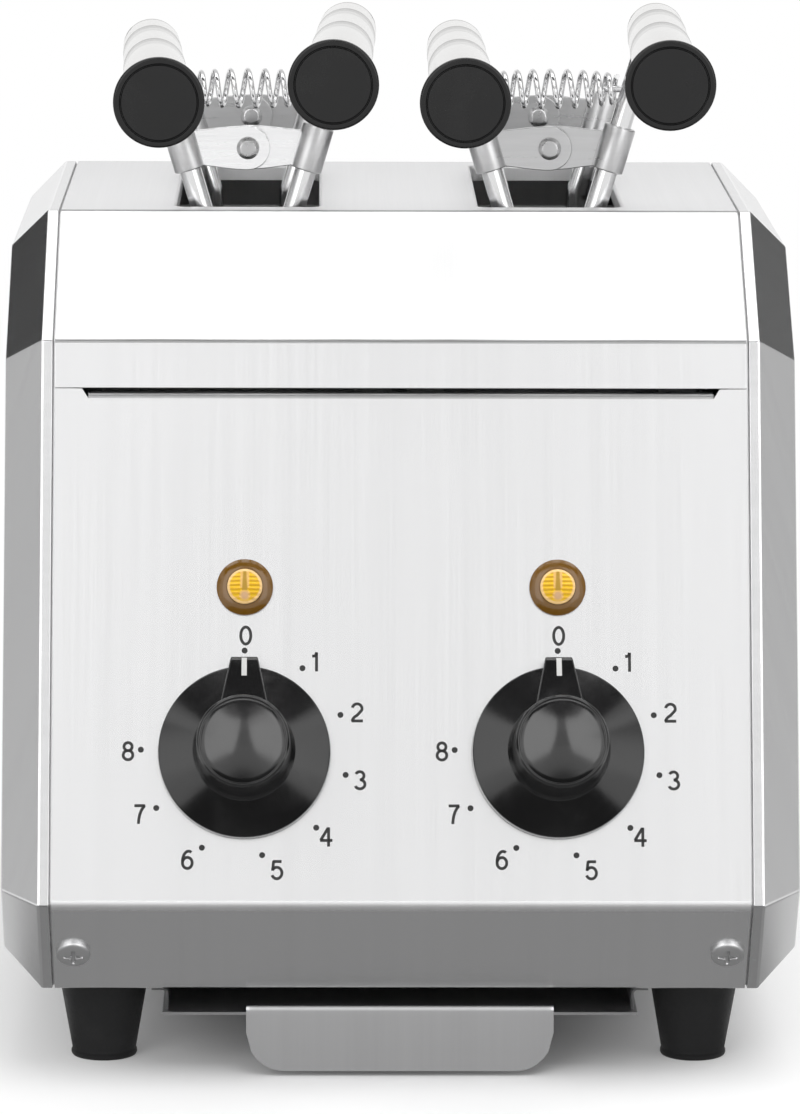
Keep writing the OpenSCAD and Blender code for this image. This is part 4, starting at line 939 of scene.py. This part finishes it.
class TOASTER_OT_lamps(bpy.types.Operator):
    """Pilot lamps: a turned bezel, and a domed lens whose height is the dome's plus a wave up and down it"""
    bl_idname = "toaster.lamps"
    bl_label = "Lamps"

    def execute(self, context):
        s, k = shell_of(context), Values(context.scene.toaster.controls)
        rim, lens = k.bezel_d / 2, k.lens_d / 2
        stem, stem_l, seat, crest, clear = 4.7, 14, 1.0, 2.3, 0.15
        u = np.linspace(rim - lens - clear, 0, 16)[:, None]
        slope = np.concatenate([lens + clear + u, crest - 0.15 * u - 0.11 * u ** 2], 1)
        bezel = np.concatenate([[[0, -stem_l], [stem, -stem_l], [stem, 0], [rim - 0.1, 0], [rim, 0.15]], slope,
                                [[lens + 0.12, seat], [0, seat]]])
        foot, shoulder, dome_h, ridge_h, post = 1.2, 2.0, 2.2, 0.16, 1.0
        share, a = np.linspace(0, 1, 40)[:, None], around(96)[None]
        x, y = lens * share * np.cos(a), lens * share * np.sin(a)
        dome = shoulder + dome_h * np.sqrt(np.clip(1 - (0.96 * share) ** 2, 0, 1))
        beside = np.clip((np.abs(x) - post) / 0.5, 0, 1) * np.clip((1 - share) / 0.12, 0, 1)
        grid = grid_of(x, y, dome + ridge_h * beside * np.sin(2 * np.pi * y / k.ridge))
        skirt = np.stack([grid[-1], grid[-1] * [1, 1, 0] + [0, 0, foot]])
        for side, way in SIDES:
            place = on_panel(s, way * s.slot_x, k.lamp_h)
            ring, glass = Surface(), Surface()
            ring.solid_of_turn(bezel, place, 72)
            ring.piece(f"lamp_bezel_{side}_moulding", "case", finish(context, "bezel"), [f"lamp_bezel_{side}"],
                       "lamp_bezel")
            glass.patch(held(grid, place), columns_meet=True)
            glass.patch(held(skirt, place), columns_meet=True)
            glass.lid(held(skirt[-1], place))
            obj = glass.piece(f"lamp_lens_{side}_glass", "case", finish(context, "amber"), [f"lamp_lens_{side}"],
                              "amber_lens", sharp=50)
            self.face_map(obj.data, place, lens)
        return {"FINISHED"}

    @staticmethod
    def face_map(mesh, place, reach):
        """UV map on the lens's face: its place across and up, from 0 to 1 over the diameter."""
        points = np.empty(len(mesh.vertices) * 3)
        mesh.vertices.foreach_get("co", points)
        local = (points.reshape(-1, 3) / MM - [0, MIDDLE_Y, 0] - place[0]) @ np.asarray(place[1]).T
        uv = local[:, :2] / (2 * reach) + 0.5
        corners = np.empty(len(mesh.loops), int)
        mesh.loops.foreach_get("vertex_index", corners)
        mesh.uv_layers.new(name="face").data.foreach_set("uv", uv[corners].ravel())


def tong_of(context, side):
    """One tong's values: its frame's origin, the rods' line, and the handles' ends for each half."""
    s, t = shell_of(context), Values(context.scene.toaster.tongs)
    t.origin = np.array([side * s.slot_x, 0, s.body_h + t.pivot])
    t.rod_x = lambda z: t.rod_gap / 2 + (t.pivot + z) * math.tan(t.lean)
    t.front = -s.slot_l / 2 + t.inset
    t.rear = t.front + t.span
    t.knee = -t.pivot - t.sink
    t.toe = t.toe_left if side < 0 else t.toe_right
    t.handle_z = lambda h: t.rise + h * t.step / 2
    t.back = lambda h: np.array([t.rod_x(t.handle_z(h)), t.front, t.handle_z(h)])
    t.tip = lambda h: t.back(h) + [-t.toe, -t.reach, -t.drop]
    t.mirrored = lambda points, h: np.asarray(points, float) * [h, 1, 1] + t.origin
    return t


class TOASTER_OT_rods(bpy.types.Operator):
    """Tong rods: a circle carried along a bent line of handle, front leg, foot and rear leg, with a spring peg"""
    bl_idname = "toaster.rods"
    bl_label = "Tong rods"

    def execute(self, context):
        in_cap, dome_h = 3, 0.9
        for side, way in SIDES:
            t = tong_of(context, way)
            for half, h in HALVES:
                back, tip = t.back(h), t.tip(h)
                knee, foot, stub = t.rod_x(t.knee), t.gap / 2, t.plate_h / 2 + 2
                line = [tip + unit(back - tip) * in_cap, back, [knee, t.front, t.knee], [foot, t.front, -t.depth],
                        [foot, t.rear, -t.depth], [knee, t.rear, t.knee], [t.rod_x(stub), t.rear, stub]]
                rod = Surface()
                grid = tube(fillet(line, t.bend, 14), t.rod_d / 2, 24)
                end = grid[-1:].mean(1, keepdims=True)
                up = unit(grid[-1].mean(0) - grid[-2].mean(0)) * dome_h
                dome = [end + (grid[-1:] - end) * math.cos(a) + up * math.sin(a) for a in (0.5, 1.0, 1.5)]
                rod.patch(t.mirrored(np.concatenate([grid, *dome]), h), columns_meet=True)
                rod.lid(t.mirrored(grid[0], h))
                rod.lid(t.mirrored(dome[-1][0], h))
                middle, peg_r = t.rod_x(t.spring_z), t.peg_d / 2
                peg_end = middle - t.rod_d / 2 - t.peg_l
                peg = [[x, t.front, t.spring_z] for x in (middle + 0.5, peg_end + 1, peg_end)]
                rod.rod(t.mirrored(peg, h), [peg_r, peg_r, peg_r - 0.25], 16, (0, 0, 1))
                rod.piece(f"tong_{side}_rod_{half}_wire", f"tong_{side}_{half}", finish(context, "wire"),
                          [f"tong_{side}_rod_{half}"], "polished_steel")
        return {"FINISHED"}


class TOASTER_OT_plates(bpy.types.Operator):
    """Hinge plates: a tapered outline with a round end, given a thickness, with a barrel round its rod, and rivets"""
    bl_idname = "toaster.plates"
    bl_label = "Hinge plates"

    def execute(self, context):
        gap, shank, under, over = 0.15, 2, 1.95, 3.25
        for side, way in SIDES:
            t = tong_of(context, way)
            r, narrow = t.plate_h / 2, t.plate_h / 2 - 1.5
            bore, barrel_r = t.rod_d / 2 + 0.05, t.rod_d / 2 + 1.5
            a = np.linspace(np.pi / 2, 3 * np.pi / 2, 25)
            round_end = np.stack([r * np.cos(a), r * np.sin(a)], -1)
            u = np.linspace(0, 1, 12)[:, None]
            height = r - (r - narrow) * np.sin(u * np.pi / 2) ** 2
            low = np.concatenate([u * t.rod_x(-narrow), -height], 1)
            high = np.concatenate([u * t.rod_x(narrow), height], 1)[::-1]
            shape = np.concatenate([round_end, low[1:], high[:-1]])
            z = np.array([-r, r])
            # The left tong's front plates take a painted highlight and the right tong's painted shade; the rear plates
            # and the barrels take painted shade.
            front_lit_or_shaded = "plate" if way < 0 else "dull_plate"
            for half, h in HALVES:
                plates = Surface()
                start = -t.plate_t - gap if h < 0 else gap
                for y, tint in ((t.front, 0), (t.rear, 1)):
                    across = np.array([[y + start], [y + start + t.plate_t]])
                    faces = t.mirrored(grid_of(shape[None, :, 0], across, shape[None, :, 1]), h)
                    plates.patch(faces, columns_meet=True, tint=tint)
                    plates.lid(faces[0], tint)
                    plates.lid(faces[1], tint)
                    ends = grid_of(t.rod_x(z), y, z)
                    tall = np.linalg.norm(ends[1] - ends[0])
                    barrel = fillet([[bore, 0], [barrel_r, 0], [barrel_r, tall], [bore, tall]], [0, 0.5, 0.5, 0], 4)
                    plates.patch(t.mirrored(held(turned(barrel, 40), between(*ends)), h), columns_meet=True, tint=1)
                plates.piece(f"tong_{side}_plates_{half}_sheet", f"tong_{side}_{half}",
                             finish(context, front_lit_or_shaded, "dull_plate"), [f"tong_{side}_plates_{half}"],
                             "polished_steel", bevel=0.25)
            rivets, rim, crown = Surface(), t.rivet_d / 2, t.rivet_d / 3
            head = [[shank, under], [rim, under], [rim, under + 0.35], [crown, over - 0.1], [0, over]]
            radii = [0, 0.05, 0.25, 0.9, 0]
            line = fillet([[x, -y] for x, y in head[::-1]] + head, radii[::-1] + radii, 4)
            for y in (t.front, t.rear):
                axis = between([0, y, 0], [0, y - 1, 0])
                rivets.solid_of_turn(line, (axis[0] + t.origin, axis[1]), 40)
            rivets.piece(f"tong_{side}_rivets_steel", f"tong_{side}", finish(context, "rivet"),
                         [f"tong_{side}_rivets"], "polished_steel")
        return {"FINISHED"}


class TOASTER_OT_springs(bpy.types.Operator):
    """Barrel springs: a circle carried along a coil whose radius swells by a sine and whose pitch closes at its ends"""
    bl_idname = "toaster.springs"
    bl_label = "Springs"

    def execute(self, context):
        gap, closing, per_coil = 0.3, 0.3, 28
        for side, way in SIDES:
            t = tong_of(context, way)
            span = 2 * (t.rod_x(t.spring_z) - t.rod_d / 2 - gap) - t.wire
            u = np.linspace(0, 1, t.coils * per_coil + 1)
            r = (t.coil_end + (t.coil_mid - t.coil_end) * np.sin(np.pi * u)) / 2
            a = 2 * np.pi * t.coils * u
            along = u - 0.5 - closing * np.sin(2 * np.pi * u) / (2 * np.pi)
            line = grid_of(span * along, -r * np.sin(a), r * np.cos(a))
            spring = Surface()
            spring.rod(line + [0, t.front, t.spring_z] + t.origin, t.wire / 2, 12)
            obj = spring.piece(f"tong_{side}_spring_wire", f"tong_{side}", finish(context, "wire"),
                               [f"tong_{side}_spring"], "polished_steel", sharp=60)
            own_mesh(obj)
        return {"FINISHED"}


class TOASTER_OT_handles(bpy.types.Operator):
    """Handles: tapered turned sleeves with a collar and two low rings, and black turned caps with a grooved face"""
    bl_idname = "toaster.handles"
    bl_label = "Handles"

    def execute(self, context):
        bead_h, groove = 0.1, 0.4
        for side, way in SIDES:
            t = tong_of(context, way)
            for half, h in HALVES:
                back, tip = t.back(h), t.tip(h)
                start, end = t.bend + 4, np.linalg.norm(tip - back) - t.cap_t
                front, bore, neck = t.sleeve_front / 2, t.rod_d / 2 + 0.05, t.sleeve_rear / 2
                collar_r, collar = neck + 0.3, start + 4.6
                taper = lambda y: collar_r + (front - collar_r) * (y - collar) / (end - 0.1 - collar)
                line = [[bore, start], [neck - 0.6, start], [collar_r, start + 3.2], [neck + 0.1, start + 3.9],
                        [collar_r, collar]]
                radii, cuts = [0, 2.2, 0.5, 0.5, 0.5], []
                # Each ring: a low bead, then from the bead towards the cap a band of painted shade that ends at fade
                # and a fainter band of painted shade that ends at plain.
                for y in (start + t.ring_rear, start + t.ring_front):
                    bead, fade, plain = y + 0.3, y + 5, y + 10
                    line += [[taper(y), y - 0.9], [taper(y) + bead_h, y - 0.3], [taper(y) + bead_h, bead],
                             [taper(y), y + 1.5], [taper(fade), fade], [taper(plain), plain]]
                    radii += [0.4, 0.3, 1.5, 1.5, 0, 0]
                    cuts += [bead, fade, plain]
                sleeve = fillet(line + [[front, end - 0.1], [front - 1.2, end]], radii + [0.3, 0], 6)
                cuts = [0, *np.searchsorted(sleeve[:, 1], np.array(cuts) - 1e-6), len(sleeve) - 1]
                cap, hold = t.cap_d / 2, front - 1.7
                disc = fillet([[0, 0], [cap - 2.3, 0], [cap - 1.95, groove], [cap - 1.6, 0], [cap, 0], [cap, 1.4],
                               [cap - t.cap_taper, t.cap_t], [hold, t.cap_t], [hold, t.cap_t + 2]],
                              [0, 0.1, 0.1, 0.1, 0.7, 0.7, 0.6, 0, 0], 6)
                tube_piece, cap_piece = Surface(), Surface()
                grid = t.mirrored(held(turned(sleeve, 64), between(back, tip)), h)
                # Bands of painted shade follow each ring's bead.
                for first, last, tint in zip(cuts[:-1], cuts[1:], (0, 1, 2, 0, 1, 2, 0)):
                    tube_piece.patch(grid[first:last + 1], columns_meet=True, tint=tint)
                tube_piece.piece(f"tong_{side}_sleeve_{half}_metal", f"tong_{side}_{half}",
                                 finish(context, "handle", "handle_ring", "handle_fade"),
                                 [f"tong_{side}_sleeve_{half}"], "handle_metal", inside=t.mirrored((back + tip) / 2, h))
                cap_piece.patch(t.mirrored(held(turned(disc, 72), between(tip, back)), h), columns_meet=True)
                cap_piece.piece(f"tong_{side}_cap_{half}_moulding", f"tong_{side}_{half}", finish(context, "cap"),
                                [f"tong_{side}_cap_{half}"], "black_moulding",
                                inside=t.mirrored(tip + (back - tip) * 0.04, h))
        return {"FINISHED"}


class TOASTER_OT_tray(bpy.types.Operator):
    """Crumb tray: a floor that rises a little and bends down into a flap with round corners, and walls with lips"""
    bl_idname = "toaster.tray"
    bl_label = "Crumb tray"

    def execute(self, context):
        s, b = shell_of(context), Values(context.scene.toaster.base)
        half, top, wall = b.tray_w / 2, b.tray_h + s.sheet, s.sheet
        lip_z, lip_x, wall_z = s.under_h - 2 + wall, half + 3.2, b.tray_h + 0.3
        front, floor_end, flap = -b.tray_front, -b.tray_front + 5, b.flap_w / 2
        tray, walls = Surface(), Surface()
        across = np.linspace(-flap, flap, 61)
        columns = np.concatenate([[-half], across, [half]])
        tray.patch(grid_of(columns[None], np.array([[b.tray_rear], [floor_end]]), top))
        for sign in (-1, 1):
            tray.patch(grid_of(np.array([[flap, half]]) * sign, np.array([[floor_end], [front]]), top))
        past = np.clip(np.abs(across) - (flap - b.flap_r), 0, b.flap_r)
        foot = b.flap_foot + b.flap_r - np.sqrt(b.flap_r ** 2 - past ** 2)
        edge, crest, slope = front - 0.3, top + b.flap_rise, math.tan(b.flap_lean)
        bend = fillet([[edge + 5.3, top], [edge + 4.6, top], [edge + 2.8, crest], [edge, crest],
                       [edge - slope * 8, crest - 8]], [0, 1.0, 0.6, 1.5, 0], 8)[:-1]
        z = bend[-1, 1] + (foot[None] - bend[-1, 1]) * np.linspace(0, 1, 12)[1:, None]
        y = bend[-1, 0] - (bend[-1, 1] - z) * slope
        tray.patch(np.concatenate([grid_of(across[None], bend[:, :1], bend[:, 1:]), grid_of(across[None], y, z)]))
        tray.piece("crumb_tray_floor", "tray", finish(context, "tray"), ["crumb_tray"], "tray_steel", inside=(0, 0, 5),
                   thick=wall, bevel=SHEET_EDGE, flat=True)
        line = fillet([[half - wall, wall_z], [half - wall, lip_z], [lip_x, lip_z]], [0, 0.9, 0], 5)
        for sign in (-1, 1):
            walls.patch(grid_of(sign * line[:, :1], np.array([[front + 4, b.tray_rear]]), line[:, 1:]))
        walls.patch(grid_of(np.array([[-half], [half]]), b.tray_rear, np.array([[wall_z, lip_z]])))
        walls.piece("crumb_tray_walls", "tray", finish(context, "tray"), slot="tray_steel", inside=(0, 0, 60),
                    thick=wall, flat=True)
        return {"FINISHED"}


class TOASTER_OT_feet(bpy.types.Operator):
    """Rubber feet: turned, tapered, with a bead at the table"""
    bl_idname = "toaster.feet"
    bl_label = "Feet"

    def execute(self, context):
        s, b = shell_of(context), Values(context.scene.toaster.base)
        top, tip, up = b.foot_d / 2, b.foot_tip / 2, s.under_h + s.sheet
        well, hole, seat = 5.3, 2.5, up - FOOT_SEAT
        line = fillet([[well, seat], [well, 0], [tip + 0.2, 0], [tip + 0.55, 0.7], [tip + 0.5, 1.4], [tip + 0.2, 2.0],
                       [top, up - 0.6], [top - 0.8, up], [hole, up]], [0, 0.4, 0.5, 0.5, 0.5, 1.0, 0.4, 0, 0], 4)
        line = np.concatenate([line, [[hole, seat], [well, seat]]])
        feet = Surface()
        for x in (-b.foot_x, b.foot_x):
            for y in (-b.foot_y, b.foot_y):
                feet.solid_of_turn(line, (np.array([x, y, 0.0]), np.eye(3)), 48)
        feet.piece("feet_rubber", "case", finish(context, "rubber"), ["feet"], "foot_rubber")
        return {"FINISHED"}


class TOASTER_OT_screws(bpy.types.Operator):
    """Pan-head screws: a polar grid whose height is a dome less a cross-shaped recess, and a turned shank"""
    bl_idname = "toaster.screws"
    bl_label = "Screws"

    def execute(self, context):
        s, b = shell_of(context), Values(context.scene.toaster.base)
        r, h, edge, shank_r, shank_l = b.head_d / 2, b.head_h, 0.9, 2.4, 9
        arm_l, arm_w, recess, soft = 2.5, 0.62, 1.3, 0.16
        share, a = np.concatenate([np.linspace(0, 0.86, 44), np.linspace(0.88, 1, 8)])[:, None], around(96)[None]
        x, y = r * share * np.cos(a), r * share * np.sin(a)
        dome = edge + (h - edge) * np.clip(1 - share ** 3.2, 0, 1) ** 0.6
        arm = np.maximum(np.abs(x), np.abs(y)) / arm_l
        narrow = np.minimum(np.abs(x), np.abs(y))
        depth = recess * np.clip(1.15 - arm, 0, 1) ** 0.5
        cut = np.clip((arm_w - 0.18 * arm - narrow) / soft, 0, 1)
        head = grid_of(x, y, dome - depth * cut)
        shank = turned([[r, edge], [r, 0], [shank_r, 0], [shank_r, 0.7 - shank_l], [shank_r - 0.7, -shank_l],
                        [0, -shank_l]], 96)
        screws = Surface()
        spots = [on_tuck(s, x, b.screw_h, behind) for x in (-b.screw_x, b.screw_x) for behind in (False, True)]
        seat = s.under_h + s.sheet - FOOT_SEAT
        down = np.diag([1.0, -1.0, -1.0])
        spots += [(np.array([x, y, seat]), down) for x in (-b.foot_x, b.foot_x) for y in (-b.foot_y, b.foot_y)]
        for place in spots:
            screws.patch(held(np.concatenate([head, shank]), place), columns_meet=True)
        screws.piece("screws_steel", "case", finish(context, "screw"), ["screws"], "bright_wire", sharp=45)
        return {"FINISHED"}


class TOASTER_OT_gland(bpy.types.Operator):
    """Cable gland: turned, with a flange on the rear panel and ribs round its tapered nose"""
    bl_idname = "toaster.gland"
    bl_label = "Cable gland"

    def execute(self, context):
        s, b = shell_of(context), Values(context.scene.toaster.base)
        r, bore, stem, inner_end, outer_end, rib_pitch = b.gland_d / 2, 4, 6, -8, 13, 1.9
        z = np.linspace(4.2, 12.4, 60)
        ribs = 0.35 * (np.sin(z * 2 * np.pi / rib_pitch) > 0.2)
        nose = np.stack([r - 2.2 - 0.75 * (z - z[0]) / (z[-1] - z[0]) - ribs, z], -1)
        flange = fillet([[bore, inner_end], [stem, inner_end], [stem, 0], [r, 0], [r, 3], [r - 2, 4]],
                        [0, 0.3, 0, 0.3, 0.8, 0], 4)
        mouth = fillet([[r - 3, outer_end - 0.5], [r - 3, outer_end], [bore, outer_end], [bore, inner_end]],
                       [0, 0.3, 0.4, 0], 4)
        line = np.concatenate([flange, nose, mouth])
        gland = Surface()
        gland.solid_of_turn(line, on_panel(s, 0, b.gland_h, True), 48)
        gland.piece("cable_gland_moulding", "case", finish(context, "black"), ["cable_gland"], "black_moulding")
        return {"FINISHED"}


class TOASTER_OT_inner_parts(bpy.types.Operator):
    """Finishes for the pieces inside and underneath, which keep the frame's own shapes"""
    bl_idname = "toaster.inner_parts"
    bl_label = "Inner parts"

    def execute(self, context):
        finish_of = {"reflector": "inner", "element": "inner", "base_plate": "inner", "tray_runner": "tray",
                     "heater": "quartz", "slot_guard": "wire", "tong_rests": "wire", "timer_spindle": "wire",
                     "timer": "pale", "terminal": "pale", "tong_left_grid": "wire", "tong_right_grid": "wire"}
        for name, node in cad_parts.items():
            if node.hide_render:
                continue
            key = max((k for k in finish_of if name.startswith(k)), key=len)
            (material,) = finish(context, finish_of[key])
            node.data.materials.clear()
            node.data.materials.append(material)
        return {"FINISHED"}


class TOASTER_OT_stage(bpy.types.Operator):
    """Camera, floor, lamps, and cards that only show in reflections"""
    bl_idname = "toaster.stage"
    bl_label = "Stage"
    middle_z = 0.12

    def execute(self, context):
        scene, v = context.scene, context.scene.toaster.stage
        scene.view_settings.view_transform = "Standard"
        self.camera(scene, v.lens)
        self.world(scene, v.ambient)
        self.floor(scene, scene.toaster.colours.floor)
        self.lamp(scene, "key_lamp", (0.35, -0.5, 2.0), 1.6, v.key)
        self.lamp(scene, "fill_lamp", (-0.9, -1.9, 1.0), 1.2, v.fill)
        on_table = 0.002
        cards = [("overhead_card", (0, 0.02, 1.7), (2.4, 0.6), v.overhead, True),
                 ("rear_overhead", (0, 0.15, 0.45), (0.6, 0.22), v.middle * 0.85, True),
                 ("middle_card", self.toward(1, 25, 1.95), (1.3, 1.3), v.middle, False),
                 ("dark_strip", self.toward(0, 70, 1.85), (3.4, 0.9), v.shade, False),
                 # The ground card is painted shade of the table in front of the body, seen only in reflections.
                 ("ground_card", (0, -0.175, on_table), (0.5, 0.15), v.ground, True),
                 ("ground_ahead", (0, -0.375, on_table), (0.5, 0.25), v.ground * 0.25, True)]
        for way, rear in ((-1, 0.5), (1, 1.7)):
            cards += [(f"softbox_{way:+d}", self.toward(1 + way * 32, 28, 1.9), (0.95, 2.2), v.softbox, False),
                      (f"wing_{way:+d}", self.toward(way * 58, 18, 1.9), (0.8, 1.3), v.wing, False),
                      (f"side_card_{way:+d}", (way * 1.3, 0.0, 0.42), (1.3, 0.9), v.side, False),
                      # The side ground cards are painted shade of the table beside the body, seen only in reflections.
                      (f"side_ground_{way:+d}", (way * 0.56, 0.25, on_table), (0.86, 0.7), v.beside, True),
                      (f"rear_card_{way:+d}", (way * 1.02, 0.78, 0.82), (1.1, 1.0), v.shade * rear, False)]
        for card in cards:
            self.card(scene, *card)
        return {"FINISHED"}

    @staticmethod
    def camera(scene, focal):
        """Camera in front of the body: panned about the vertical, tipped down from the level, and rolled a little."""
        place, pan, tip_down, roll = Vector((-23.9, -1829.4 + MIDDLE_Y, 452.0)) * MM, -0.794, 10.112, 0.219
        camera = bpy.data.objects.new("camera", bpy.data.cameras.new("camera"))
        scene.collection.objects.link(camera)
        camera.data.lens, camera.data.sensor_width, camera.data.sensor_fit = focal, 36.0, "AUTO"
        camera.data.clip_start, camera.data.clip_end = 0.05, 50.0
        turns = ((pan, "Z"), (90 - tip_down, "X"), (roll, "Z"))
        first, second, third = (Matrix.Rotation(math.radians(degrees), 4, axis) for degrees, axis in turns)
        camera.matrix_world = Matrix.Translation(place) @ (first @ second @ third)
        scene.camera = camera

    def toward(self, azimuth, elevation, distance):
        """Point in front of the body's middle at an azimuth and elevation in degrees."""
        a, e = math.radians(azimuth), math.radians(elevation)
        level_d = distance * math.cos(e)
        return (level_d * math.sin(a), -level_d * math.cos(a), self.middle_z + distance * math.sin(e))

    @staticmethod
    def world(scene, ambient):
        """White where the camera, a mirror or glass sees it, and dimmer as light on matt surfaces."""
        world = bpy.data.worlds.new("studio")
        world.use_nodes = True
        nodes = Nodes(world.node_tree)
        back = world.node_tree.nodes["Background"]
        back.inputs["Color"].default_value = WHITE
        world.node_tree.links.new(nodes.spread(nodes.seen(), 0, 1, ambient, 1.0), back.inputs["Strength"])
        scene.world = world

    @staticmethod
    def rectangle(scene, name, w, l, material):
        """Flat rectangle about its middle."""
        mesh = bpy.data.meshes.new(name)
        x, y = w / 2, l / 2
        mesh.from_pydata([(-x, -y, 0), (x, -y, 0), (x, y, 0), (-x, y, 0)], [], [(0, 1, 2, 3)])
        mesh.materials.append(material)
        obj = bpy.data.objects.new(name, mesh)
        scene.collection.objects.link(obj)
        return obj

    def floor(self, scene, tint):
        """Pale matt floor that turns plain white with distance where it is seen."""
        width, sideways, near, far = 24.0, 1.9, 0.1, 0.42
        material, nodes, shader, at = new_finish("studio floor", Roughness=0.9, Base_Color=(*tint, 1.0))
        shader.inputs["Specular IOR Level"].default_value = 0.0
        seen, wide = nodes.seen(), nodes.stretched(at, (sideways, 1.0, 1.0))
        away = nodes.add("ShaderNodeVectorMath", {0: wide}, operation="LENGTH").outputs["Value"]
        share = nodes.maths("MULTIPLY", nodes.spread(away, near, far, 0.0, 1.0, True), seen)
        glow = nodes.add("ShaderNodeEmission", {"Color": WHITE, "Strength": 1.0}).outputs[0]
        both = nodes.add("ShaderNodeMixShader", {0: share, 1: shader.outputs[0], 2: glow}).outputs[0]
        material.node_tree.links.new(both, material.node_tree.nodes["Material Output"].inputs["Surface"])
        obj = self.rectangle(scene, "floor", width, width, material)

    def facing(self, obj, place):
        """Puts an object at a place with its -Z axis towards the middle of the body."""
        obj.location = place
        obj.rotation_euler = (Vector((0, 0, self.middle_z)) - Vector(place)).to_track_quat("-Z", "Y").to_euler()

    def lamp(self, scene, name, place, size, power):
        """Large soft lamp that lights matt surfaces only."""
        light = bpy.data.lights.new(name, "AREA")
        light.size, light.energy = size, power
        obj = bpy.data.objects.new(name, light)
        scene.collection.objects.link(obj)
        self.facing(obj, place)
        obj.visible_glossy = obj.visible_camera = False

    def card(self, scene, name, place, size, strength, flat):
        """Card that mirrors show at a strength, and nothing else sees; it faces the body or lies flat."""
        material = bpy.data.materials.new(name)
        material.use_nodes = True
        nodes = Nodes(material.node_tree)
        glow = nodes.add("ShaderNodeEmission", {"Color": WHITE, "Strength": strength}).outputs[0]
        material.node_tree.links.new(glow, material.node_tree.nodes["Material Output"].inputs["Surface"])
        material.cycles.emission_sampling = "NONE"
        obj = self.rectangle(scene, name, *size, material)
        self.facing(obj, place)
        if flat:
            obj.rotation_euler = (0, 0, 0)
        obj.visible_camera = obj.visible_diffuse = obj.visible_shadow = obj.visible_transmission = False


MAKERS = (TOASTER_OT_hood, TOASTER_OT_panels, TOASTER_OT_side_covers, TOASTER_OT_knobs, TOASTER_OT_dials,
          TOASTER_OT_lamps, TOASTER_OT_rods, TOASTER_OT_plates, TOASTER_OT_springs, TOASTER_OT_handles,
          TOASTER_OT_tray, TOASTER_OT_feet, TOASTER_OT_screws, TOASTER_OT_gland, TOASTER_OT_inner_parts,
          TOASTER_OT_stage)
GROUPS = (ShellSizes, ControlSizes, TongSizes, BaseSizes, FinishColours, StageLevels)


class TOASTER_PT_sidebar(bpy.types.Panel):
    """Lists the values and the makers of the toaster"""
    bl_label = "Tong toaster"
    bl_space_type = "VIEW_3D"
    bl_region_type = "UI"
    bl_category = "Toaster"

    def draw(self, context):
        settings = context.scene.toaster
        for key in ("shell", "controls", "tongs", "base", "colours", "stage"):
            box = self.layout.box()
            box.label(text=key.capitalize())
            group = getattr(settings, key)
            for name in group.bl_rna.properties.keys():
                if name not in ("rna_type", "name"):
                    box.prop(group, name)
        for maker in MAKERS:
            self.layout.operator(maker.bl_idname)


CLASSES = (*GROUPS, ToasterSettings, *MAKERS, TOASTER_PT_sidebar)


def register():
    """Registers the classes and hangs the values on the scene."""
    for cls in CLASSES:
        bpy.utils.register_class(cls)
    bpy.types.Scene.toaster = PointerProperty(type=ToasterSettings)


def unregister():
    """Takes the classes and the values away again."""
    del bpy.types.Scene.toaster
    for cls in reversed(CLASSES):
        bpy.utils.unregister_class(cls)


def main():
    """Builds every piece and the stage."""
    register()
    for maker in MAKERS:
        group, name = maker.bl_idname.split(".")
        getattr(getattr(bpy.ops, group), name)()


if __name__ == "__main__":
    main()
